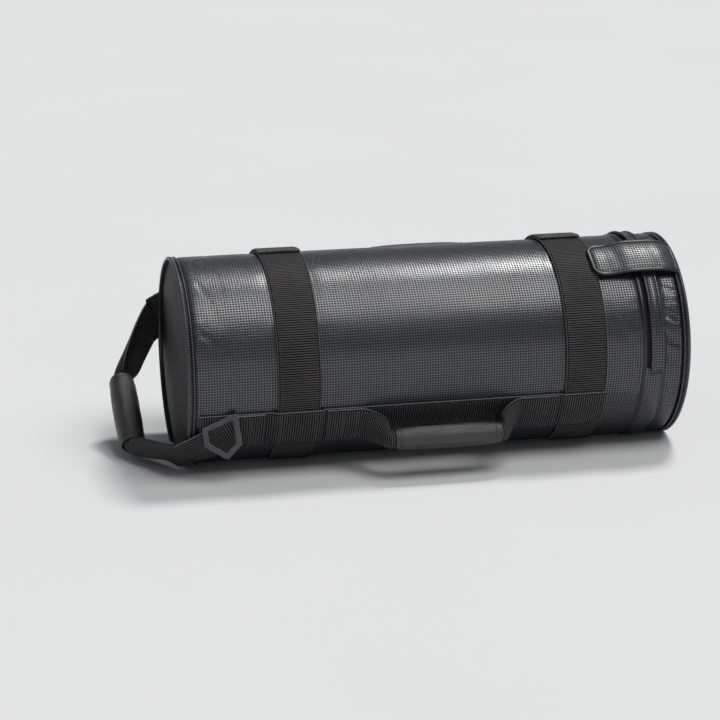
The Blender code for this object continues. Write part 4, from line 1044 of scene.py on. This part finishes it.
def leg_points():
    """Middle line of one leg: sewn tail, over the round side and the rim, then a free curve to the grip."""
    tail = [END_TAIL_X - run for run in (0.0, 0.0005, 0.0015, 0.005)]
    points = [end_place(x, 0.0, END_OUT) for x in (*tail, -0.228)]
    for x in steps(END_BEND_X, -0.301, DRAPE_STEPS):
        share = (x - END_BEND_X) / (-0.300 - END_BEND_X)
        rise = -END_RIM_DROP * share**1.2
        out = END_OUT + DRAPE_LIFT * eased(share * 3)
        points.append(end_place(x, rise, sqrt(out * out - rise * rise)))
    start = points[-1]
    end = end_place(END_GRIP_X, -END_GRIP_DROP, END_GRIP_LENGTH / 2)
    reach = (end - start).length
    leave = (start - points[-2]).normalized() * reach * 0.2
    arrive = -SPREAD_WAY * reach * 0.45
    for share in steps(0.0, 1.0, LEG_STEPS)[1:]:
        square, cube = share * share, share**3
        place = start * (2 * cube - 3 * square + 1) + leave * (cube - 2 * square + share)
        points.append(place + end * (3 * square - 2 * cube) + arrive * (cube - square))
    return points


def clear_of_rim(point, radius):
    rise, spread = (point - AXIS).dot(ACROSS_WAY), (point - AXIS).dot(SPREAD_WAY)
    least = radius + DRAPE_LIFT - max(0.0, -point.x - 0.305)
    if hypot(rise, spread) >= least:
        return point
    return end_place(point.x, rise, sqrt(max(least * least - rise * rise, spread * spread)))


def leg_frames():
    """Middle, side, way out and curl along the leg. The draped part lies on the bag and has no curl."""
    points = leg_points()
    last = len(points) - 1
    draped = last - LEG_STEPS
    frames = []
    widthways = ACROSS_WAY
    for index, point in enumerate(points):
        tangent = (points[min(index + 1, last)] - points[max(index - 1, 0)]).normalized()
        if index == last:
            tangent = -SPREAD_WAY
        plan = tangent - SPREAD_WAY * tangent.dot(SPREAD_WAY)
        if plan.length > 0.15:
            widthways = SPREAD_WAY.cross(plan).normalized()
        if widthways.dot(ACROSS_WAY) < 0:
            widthways = -widthways
        if index <= draped:
            frames.append((point, widthways, None, 0.0))
            continue
        share = ((index - draped) / LEG_STEPS) ** 1.5
        normal = tangent.cross(widthways)
        if normal.dot(SPREAD_WAY + LEFTWARD) < 0:
            normal = -normal
        curl = 1 / END_OUT + (WRAP_CURL - 1 / END_OUT) * share
        frames.append((point + normal * (WRAP_RADIUS * share), widthways, normal, curl))
    return frames


LEG_FRAMES = leg_frames()


def leg_place(index, across, height):
    middle, widthways, normal, _ = LEG_FRAMES[index]
    if normal is None:
        local = middle - AXIS
        radius = hypot(local.dot(ACROSS_WAY), local.dot(SPREAD_WAY)) + height - WEBBING / 2
        place = local + widthways * across
        rise = place.dot(ACROSS_WAY)
        return end_place(place.x, rise, sqrt(radius * radius - rise * rise))
    return clear_of_rim(curled(LEG_FRAMES[index], across, height), END_OUT + height - WEBBING / 2)


def mirrored(point):
    return point - SPREAD_WAY * (2 * (point - AXIS).dot(SPREAD_WAY))


def loop_place(index, across, height):
    if index < len(LEG_FRAMES):
        return leg_place(index, across, height)
    return mirrored(leg_place(2 * len(LEG_FRAMES) - 1 - index, across, height))


def end_seams():
    """Rows along both edges of the sewn and draped part, two bars, and the same on the other leg."""
    seams = []
    for across in STITCH_LINES:
        run = [leg_place(index, across, WEBBING) for index in range(2, 5 + DRAPE_STEPS)]
        row = []
        for first, following in zip(run, run[1:]):
            count = max(1, round((following - first).length / 0.0028))
            row += [(first.lerp(following, k / count), SPREAD_WAY) for k in range(count)]
        seams.append(row)
    for index in (2, 4):
        seams.append(bar(lambda station, across: (leg_place(station, across, WEBBING), SPREAD_WAY), index))
    return seams + [[(mirrored(point), -out) for point, out in row] for row in seams]


end_web = webbing_strip("end_handle_webbing", loop_place, range(2 * len(LEG_FRAMES)), [band_webbing], None)
end_thread = stitching("end_handle_thread", end_seams(), None)
for piece in (end_web, end_thread):
    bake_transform(piece)
stands_for(end_web, "end_handle_web")
end_axes = (SPREAD_WAY, LEFTWARD, ACROSS_WAY)
end_middle = end_place(END_GRIP_X, -END_GRIP_DROP, 0.0)
grip_sleeve("end_handle", end_middle, end_axes, END_GRIP_LENGTH, END_GRIP_RADIUS, 7.0)
grip_core("end_handle", end_middle, end_axes, END_GRIP_LENGTH)

# Anchor loop
# A flat five-sided ring of narrow grey tape hangs in front of the end handle's root, and takes a hook
# or cord. The tape is folded at each corner and sewn under the webbing's upper edge.
LOOP_TAPE_HALF = 0.003
LOOP_TAPE = 0.0022
LOOP_SELVEDGE = 0.0008
LOOP_RIB_PITCH = 0.0012
LOOP_PIVOT = Vector((-0.26533, -0.12042, 0.07578))
LOOP_TURN = radians(10.5)
LOOP_ALONG = Vector((cos(LOOP_TURN), -sin(LOOP_TURN), 0.0))
LOOP_OUTWARD = Vector((-sin(LOOP_TURN), -cos(LOOP_TURN), 0.0))
LOOP_WIDTH = 0.045
LOOP_HEIGHT = 0.057
LOOP_SHARES = ((-0.45, -0.165), (0.45, 0.165), (0.57, -0.50), (0.2, -0.83), (-0.38, -0.55))

# First colour: painted shade in the rib gaps. Last colour: painted highlight along both edges.
loop_tape = ribbed_webbing(
    "Grey loop tape", (0.04, 0.04, 0.044), (0.36, 0.36, 0.38), (0.30, 0.30, 0.32), 0.55,
    LOOP_TAPE_HALF, LOOP_SELVEDGE, LOOP_RIB_PITCH,
)


def loop_outline(inset, corner_radius):
    """Points round the ring at one distance in from its outer edge."""
    corners = []
    for x, z in LOOP_SHARES:
        corners.append(LOOP_PIVOT + LOOP_ALONG * (LOOP_WIDTH * x) + Vector((0, 0, LOOP_HEIGHT * z)))
    outline = []
    for index, corner in enumerate(corners):
        sides = [(corners[other % 5] - corner).normalized() for other in (index - 1, index + 1)]
        half = sides[0].angle(sides[1]) / 2
        bisector = (sides[0] + sides[1]).normalized()
        corner = corner + bisector * (inset / sin(half))
        centre = corner + bisector * (corner_radius / sin(half))
        touch = corner_radius / tan(half)
        start, end = [(corner + side * touch - centre).normalized() for side in sides]
        outline += [centre + start.slerp(end, share) * corner_radius for share in steps(0.0, 1.0, 6)]
    dense = []
    for first, following in zip(outline, outline[1:] + outline[:1]):
        count = 10 if (following - first).length > 0.006 else 1
        dense += [first.lerp(following, k / count) for k in range(count)]
    return dense + dense[:1]


LOOP_EDGES = [loop_outline(0.0, 0.003), loop_outline(2 * LOOP_TAPE_HALF, 0.0015)]


def loop_tape_place(index, across, height):
    point = LOOP_EDGES[0][index].lerp(LOOP_EDGES[1][index], (across / LOOP_TAPE_HALF + 1) / 2)
    return point + LOOP_OUTWARD * (height - LOOP_TAPE / 2)


stations = range(len(LOOP_EDGES[0]))
anchor = webbing_strip(
    "anchor_loop_tape", loop_tape_place, stations, [loop_tape], "anchor_loop",
    LOOP_TAPE_HALF, LOOP_TAPE, tucked=False,
)
stands_for(anchor, "anchor_loop")

# Zip
# A coarse moulded zip lies in the slot between sleeve and collar: two woven tapes sewn under the
# folds, two rows of teeth, a metal stop at each end, and a plain strip of the cover below.
ZIP_CENTRE = 0.2545
ZIP_FRONT = radians(94)
ZIP_BACK = radians(-98)
TAPE_WIDTH = 0.0178
TAPE_IN = 0.1193
TAPE_OUT = 0.1202
GUSSET_HALF = 0.0112
GUSSET_IN = 0.1221
GUSSET_OUT = 0.1226
GUSSET_CROWN = 0.0013
GUSSET_SHARES = (-1.0, -0.96, -0.85, -0.6, -0.3, 0.0, 0.3, 0.6, 0.85, 0.96, 1.0)


def zip_tape_cloth(name, colour):
    material = new_material(name, Roughness=0.78, Sheen_Weight=0.2)
    twill = ribs(maths("ADD", *cloth_axes(material)), 4200.0)
    join(material, Base_Color=mottled(twill, colour, 2.4), Normal=raised(twill, 0.0001))
    return material


def moulded_plastic(name, colour, roughness):
    material = new_material(name, Specular_IOR_Level=0.5)
    cloud = cloudy(material, 300.0)
    join(
        material,
        Base_Color=mottled(cloud, colour, 1.6),
        Roughness=mapped(cloud, 0.3, 0.7, roughness - 0.08, roughness + 0.1),
        Normal=raised(cloudy(material, 3000.0), 0.00002),
    )
    return material


def dark_metal(name, colour, roughness):
    """Die-cast zinc with a dark nickel finish, rubbed brighter here and there."""
    material = new_material(name, Metallic=1.0)
    cloud = cloudy(material, 260.0, 4.0)
    join(
        material,
        Base_Color=mottled(mapped(cloud, 0.5, 0.75), colour, 2.2),
        Roughness=mapped(cloud, 0.3, 0.7, roughness - 0.08, roughness + 0.12),
        Normal=raised(cloudy(material, 2200.0), 0.00003),
    )
    return material


tape_cloth = zip_tape_cloth("Zip tape cloth", (0.012, 0.012, 0.013))
tooth_plastic = moulded_plastic("Moulded zip teeth", (0.020, 0.020, 0.022), 0.36)
slider_metal = dark_metal("Dark nickel zip metal", (0.10, 0.10, 0.108), 0.32)


def arc_strip(name, left, right, start, end, inner, outer, count, material, body):
    """A thin strip that lies round the bag between two angles."""
    xs, angles = steps(left, right, 6), steps(start, end, count)
    faces = [[[round_bag(x, angle, radius) for x in xs] for angle in angles] for radius in (outer, inner)]
    flat = [[(x, angle * BODY_RADIUS) for x in xs] for angle in angles]
    return sew(name, slab(*faces, flat), [material], body)


def end_caps(points, flat):
    """Close the first and the last row of a strip towards their middles."""
    caps = []
    for k in (0, -1):
        middle = sum(points[k], Vector()) / len(points[k])
        caps.append(([points[k], [middle] * len(points[k])], [flat[k], flat[k]]))
    return caps


for side, name in ((-1, "zip_tape_left"), (1, "zip_tape_right")):
    near = ZIP_CENTRE + side * 0.0003
    left, right = sorted((near, near + side * TAPE_WIDTH))
    tape = arc_strip(
        name + "_cloth", left, right, ZIP_BACK, ZIP_FRONT, TAPE_IN, TAPE_OUT, 110, tape_cloth, "bag"
    )
    stands_for(tape, name)
points, flat = [], []
for angle in steps(ZIP_FRONT + 0.002, ZIP_BACK + 2 * pi - 0.005, 150):
    row = []
    for share in GUSSET_SHARES:
        radius = GUSSET_OUT + GUSSET_CROWN * rounded(1 - abs(share))
        row.append(round_bag(ZIP_CENTRE + GUSSET_HALF * share, angle, radius))
    for share in (0.8, 0.0, -0.8, -1.0):
        row.append(round_bag(ZIP_CENTRE + GUSSET_HALF * share, angle, GUSSET_IN, 0.0012))
    points.append(row)
    flat.append([(point.x, angle * BODY_RADIUS) for point in row])
gusset = sew("zip_gusset_strip", [(points, flat), *end_caps(points, flat)], [cover_vinyl], "bag")
stands_for(gusset, "zip_gusset")

# Storm flap of the zip
# A doubled strip of the cover is sewn to the collar's fold and lies over the teeth.
STORM_ROOT = 0.2672
STORM_EDGE = 0.2504
STORM_TOP = radians(-80)
STORM_FOOT = radians(97.5)
STORM_UNDER = 0.1238
STORM_STITCHES = ((0.0056, 0.12445), (0.0115, 0.12465))
STORM_SECTION = [
    (0.0, 0.1238), (0.0001, 0.1246), (0.0008, 0.1254), (0.0020, 0.1258), (0.0032, 0.1255),
    (0.0042, 0.1248), (0.0056, 0.1244), (0.0080, 0.1243), (0.0108, 0.1245), (0.0126, 0.1250),
    (0.0140, 0.1259), (0.0152, 0.1263), (0.0162, 0.1260), (0.0168, 0.1252), (0.0166, 0.1243),
    (0.0152, 0.1239), (0.0120, 0.1238), (0.0080, 0.1238), (0.0040, 0.1238), (0.0, 0.1238),
]
points, flat = [], []
for angle in steps(STORM_TOP, STORM_FOOT, 190):
    sink = 0.0006 * (1 - eased(min(angle - STORM_TOP, STORM_FOOT - angle) / 0.03))
    wave = 0.00035 * noise.noise(Vector((angle * 9, 4.0, 0.0)))
    wave += 0.00015 * sin(41 * angle + 2 * sin(9 * angle))
    row = []
    for run, radius in STORM_SECTION:
        lift = (radius - STORM_UNDER) / 0.0025
        x = STORM_ROOT - run + wave * run / 0.014
        row.append(round_bag(x, angle, radius - (sink + abs(wave)) * lift))
    points.append(row)
    flat.append([(STORM_ROOT - run, angle * BODY_RADIUS) for run, _ in STORM_SECTION])
storm_flap = sew("zip_storm_flap", [(points, flat), *end_caps(points, flat)], [cover_vinyl], "bag")


def zip_row(x, radius, top):
    angles = steps(top, ZIP_FRONT, 140)
    return [(round_bag(x, angle, radius or cover_radius(x, angle)), outward(angle)) for angle in angles]


def zip_bar(start, end, angle, radius, count, out):
    return [(round_bag(x, angle, radius), out) for x in steps(start, end, count)]


storm_rows = [zip_row(STORM_ROOT - run, radius, STORM_TOP) for run, radius in STORM_STITCHES]
for back in (0.010, 0.024):
    ends = (STORM_EDGE + 0.001, STORM_ROOT - 0.001)
    storm_rows.append(zip_bar(*ends, STORM_FOOT - back, 0.1254, 7, outward(STORM_FOOT)))
storm_thread = stitching("zip_storm_flap_thread", storm_rows, "bag")
for piece in (storm_flap, storm_thread):
    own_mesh(piece)
zip_rows = [zip_row(x, None, ZIP_BACK) for x in (SLEEVE_RIGHT - WELT_WIDTH - 0.0022, SLEEVE_RIGHT - 0.0127)]
zip_rows.append(zip_bar(0.2440, 0.2640, ZIP_BACK - 0.012, 0.1226, 9, outward(ZIP_BACK - 0.012)))
stitching("zip_thread", zip_rows, "bag")
for name in ("zip_teeth_left", "zip_teeth_right"):
    bpy.data.objects[name].material_slots[0].material = tooth_plastic
for name in ("zip_front_stop", "zip_back_stop", "zip_slider", "zip_pull"):
    bpy.data.objects[name].material_slots[0].material = slider_metal

# Closure flap
# A padded tab of embossed vinyl is sewn in at the right rim and laid over the zip. Its free edges are
# bound with a turned strip and topstitched, and a hook patch holds it to the loop patch on the cover.
FLAP_ANGLE = radians(28.9)
FLAP_HALF = 0.025
FLAP_TIP = 0.191
FLAP_RIM_X = 0.2965
FLAP_THICKNESS = 0.0034
FLAP_CORNER = 0.014
FLAP_CROWN = 0.0012
FLAP_SWELL = 0.0012
BINDING = 0.0045
FLAP_LOW = 0.1249
FLAP_HIGH = 0.1298
FLAP_RIM = 0.1231
FLAP_RISE_X = 0.207
FLAP_FALL_X = 0.26475
FLAP_DENTS = ((0.2230, 0.0005, 0.15), (0.2420, 0.0004, -0.10), (0.2700, 0.0006, 0.12))
PAD_INSET = BINDING - 0.0006
PAD_EDGE = (0.2, 0.4, 0.6, 0.76, 0.88, 0.95, 0.985, 1.0)
PAD_SHARES = (*[-share for share in reversed(PAD_EDGE)], 0.0, *PAD_EDGE)
PATCH_LEFT = 0.200
PATCH_RIGHT = 0.230
PATCH_TURN = 0.018 / BODY_RADIUS

flap_vinyl = embossed_vinyl("Embossed flap vinyl", (0.012, 0.013, 0.018), PIT_PAINTED_SHADE, 0.39, 1.0)


def flap_underside(x):
    up = eased((x - FLAP_RISE_X) / 0.036)
    down = min(max((x - FLAP_FALL_X) / (FLAP_RIM_X - 0.0025 - FLAP_FALL_X), 0.0), 1.0) ** 2.2
    return FLAP_LOW + (FLAP_HIGH - FLAP_LOW) * up + (FLAP_RIM - FLAP_HIGH) * down


def flap_point(x, across, above):
    return round_bag(x, FLAP_ANGLE + across / BODY_RADIUS, flap_underside(x) + above)


def flap_half(x, inset):
    corner = FLAP_CORNER - inset
    over = max(0.0, corner - (x - FLAP_TIP - inset))
    return FLAP_HALF - inset - corner + sqrt(max(0.0, corner * corner - over**2))


def flap_dents(x, across):
    """Soft folds across the padding where the tab bends over the zip."""
    dent = 0.0004 * abs(noise.noise(Vector((x * 60, across * 60, 1.0))))
    return dent + sum(depth * ridge(x - place - tilt * across, 0.0055) for place, depth, tilt in FLAP_DENTS)


xs = [
    FLAP_TIP + PAD_INSET + (FLAP_CORNER - PAD_INSET) * share
    for share in (0.0, 0.02, 0.07, 0.15, 0.28, 0.45, 0.7, 1.0)
]
top, under, flat = [], [], []
for x in xs + steps(0.207, FLAP_RIM_X, 62):
    half = max(flap_half(x, PAD_INSET), 0.0004)
    widths = [half * share for share in PAD_SHARES]
    row = []
    for width, share in zip(widths, PAD_SHARES):
        puff = rounded(min((1 - abs(share)) * half / 0.005, (x - FLAP_TIP - PAD_INSET) / 0.006))
        swell = FLAP_CROWN * (1 - share * share) - flap_dents(x, width)
        row.append(flap_point(x, width, FLAP_THICKNESS * (0.62 + 0.38 * puff) + swell * puff))
    top.append(row)
    under.append([flap_point(x, width, 0.0002) for width in widths])
    flat.append([(x, width) for width in widths])
flap = sew("closure_flap_pad", slab(top, under, flat), [flap_vinyl], "closure_flap")


def bound_in(place):
    """Whether a spot of the tab is caught in its bound edges, its sewn end or its backing."""
    across = BODY_RADIUS * (atan2(-place.y, place.z - AXIS_HEIGHT) - FLAP_ANGLE)
    height = hypot(place.y, place.z - AXIS_HEIGHT) - flap_underside(place.x)
    near_side = abs(across) > flap_half(place.x, BINDING + 0.0014)
    near_end = place.x < FLAP_TIP + BINDING + 0.0014 or place.x > FLAP_RIM_X - 0.004
    return near_side or near_end or height < 0.0012


swelled(flap, bound_in, FLAP_SWELL)
stands_for(flap, "closure_flap")


def flap_edge():
    """Places and inward directions along the three bound edges, from rim to rim."""
    corner = FLAP_TIP + FLAP_CORNER
    middle = FLAP_HALF - FLAP_CORNER
    path = [(Vector((x, -FLAP_HALF)), Vector((0.0, 1.0))) for x in steps(FLAP_RIM_X, corner, 40)]
    for turn in steps(0.0, pi / 2, 14)[1:]:
        inward = Vector((sin(turn), cos(turn)))
        path.append((Vector((corner, -middle)) - inward * FLAP_CORNER, inward))
    other_side = [(Vector((place.x, -place.y)), Vector((way.x, -way.y))) for place, way in reversed(path)]
    path += [(Vector((FLAP_TIP, w)), Vector((1.0, 0.0))) for w in steps(-middle, middle, 10)[1:-1]]
    return path + other_side


FLAP_EDGE = flap_edge()
lengths = [0.0]
for (before, _), (place, _) in zip(FLAP_EDGE, FLAP_EDGE[1:]):
    lengths.append(lengths[-1] + (place - before).length)
rows, flats = [], []
for turn in steps(0.0, 2 * pi, 14):
    c, s = cos(turn), sin(turn)
    into = BINDING / 2 * (1 - copysign(abs(c) ** 0.7, c))
    above = (FLAP_THICKNESS + 0.0006) / 2 * (1 + copysign(abs(s) ** 0.7, s))
    row = []
    for (place, inward), length in zip(FLAP_EDGE, lengths):
        wave = 0.0002 * sin(length * 900 + 2 * sin(length * 170)) * max(0.0, s)
        spot = place + inward * into
        row.append(flap_point(spot.x, spot.y, above - abs(wave)))
    rows.append(row)
    flats.append([(turn * 0.002, length) for length in lengths])
caps = end_caps(list(zip(*rows)), [[(0.0, 0.0)] * len(rows)] * 2)
binding = sew("flap_bound_edge", [(rows, flats), *caps], [folded_vinyl], "closure_flap")
stands_for(binding, "flap_binding")
topstitch = []
last_spot = None
for place, inward in FLAP_EDGE:
    spot = place + inward * (BINDING + 0.0012)
    if last_spot is None or (spot - last_spot).length > 0.0027:
        last_spot = spot
        out = outward(FLAP_ANGLE + spot.y / BODY_RADIUS)
        topstitch.append((flap_point(spot.x, spot.y, FLAP_THICKNESS * 0.92), out))
stitching("flap_topstitch", [topstitch], "closure_flap")


def hook_and_loop(name, colour, scale, distance):
    material = new_material(name, Roughness=0.95, Sheen_Weight=0.5, Sheen_Roughness=0.4)
    pile = cloudy(material, scale, 2.0)
    join(material, Base_Color=mottled(pile, colour, 3.0), Normal=raised(pile, distance))
    return material


hook_side = hook_and_loop("Hook patch pile", (0.015, 0.015, 0.016), 1500.0, 0.0006)
loop_side = hook_and_loop("Loop patch pile", (0.02, 0.02, 0.021), 700.0, 0.0008)
patch_turns = (FLAP_ANGLE - PATCH_TURN, FLAP_ANGLE + PATCH_TURN)
for name, inner, pile, body in (
    ("hook_patch", 0.1236, hook_side, "closure_flap"),
    ("loop_patch", 0.1223, loop_side, "bag"),
):
    radii = (inner, inner + 0.001)
    patch = arc_strip(name + "_pile", PATCH_LEFT, PATCH_RIGHT, *patch_turns, *radii, 30, pile, body)
    stands_for(patch, name)

# Floor, light and camera
# A pale matt floor, two broad soft lamps overhead, even light from all round, a low white wall far off,
# which camera, glossy and transmission rays see, and the photograph's view from the left, a little above
# the bag.
AIR_LIGHT = 0.15
WALL_TOP = 0.26
WALL_FULL = 0.16
CAMERA_PLACE = Vector((-0.680, -2.706, 0.8975))
CAMERA_AIM = Vector((-0.078, -0.018, 0.1075))


def pale_floor():
    material = new_material("Pale studio floor", Roughness=0.85)
    join(material, Base_Color=tinted(cloudy(material, 1.5), (0.80, 0.80, 0.80), (0.84, 0.84, 0.84)))
    bm = bmesh.new()
    bmesh.ops.create_grid(bm, x_segments=8, y_segments=8, size=20)
    floor = finished("studio_floor", bm, [material], None)
    floor.location = (0.0, 0.0, -0.0004)


def soft_lamp(name, way, strength, spread):
    """A broad far lamp, so that the floor is lit evenly."""
    data = bpy.data.lights.new(name, "SUN")
    data.energy = strength
    data.angle = radians(spread)
    lamp = bpy.data.objects.new(name, data)
    lamp.rotation_euler = (-Vector(way)).to_track_quat("-Z", "Y").to_euler()
    bpy.context.collection.objects.link(lamp)


pale_floor()
soft_lamp("overhead_lamp", (0.33, 0.34, 0.88), 1.45, 12)
soft_lamp("front_softbox", (0.30, -0.30, 0.905), 1.35, 38)
world = bpy.data.worlds.new("Studio air")
bpy.context.scene.world = world
world.use_nodes = True
tree = world.node_tree
air = tree.nodes["Background"]
air.inputs["Color"].default_value = (0.93, 0.95, 1.0, 1.0)
air.inputs["Strength"].default_value = AIR_LIGHT
wall = add_node(tree, "ShaderNodeBackground", {"Strength": 1.0})
rays = add_node(tree, "ShaderNodeLightPath").outputs
seen = maths("MAXIMUM", rays["Is Camera Ray"], rays["Is Transmission Ray"])
seen = maths("MAXIMUM", seen, rays["Is Glossy Ray"])
way = add_node(tree, "ShaderNodeTexCoord").outputs["Generated"]
height = add_node(tree, "ShaderNodeSeparateXYZ", {0: way}).outputs["Z"]
share = maths("MULTIPLY", seen, mapped(height, WALL_TOP, WALL_FULL, smooth=True))
blend = add_node(tree, "ShaderNodeMixShader", {0: share, 1: air.outputs[0], 2: wall.outputs[0]})
tree.links.new(blend.outputs[0], tree.nodes["World Output"].inputs["Surface"])

camera_data = bpy.data.cameras.new("photo_view")
camera_data.lens = 120
camera_data.sensor_width = 36
camera = bpy.data.objects.new("photo_view", camera_data)
camera.location = CAMERA_PLACE
camera.rotation_euler = (CAMERA_AIM - CAMERA_PLACE).to_track_quat("-Z", "Y").to_euler()
bpy.context.collection.objects.link(camera)
bpy.context.scene.camera = camera
bpy.context.scene.view_settings.view_transform = "Standard"
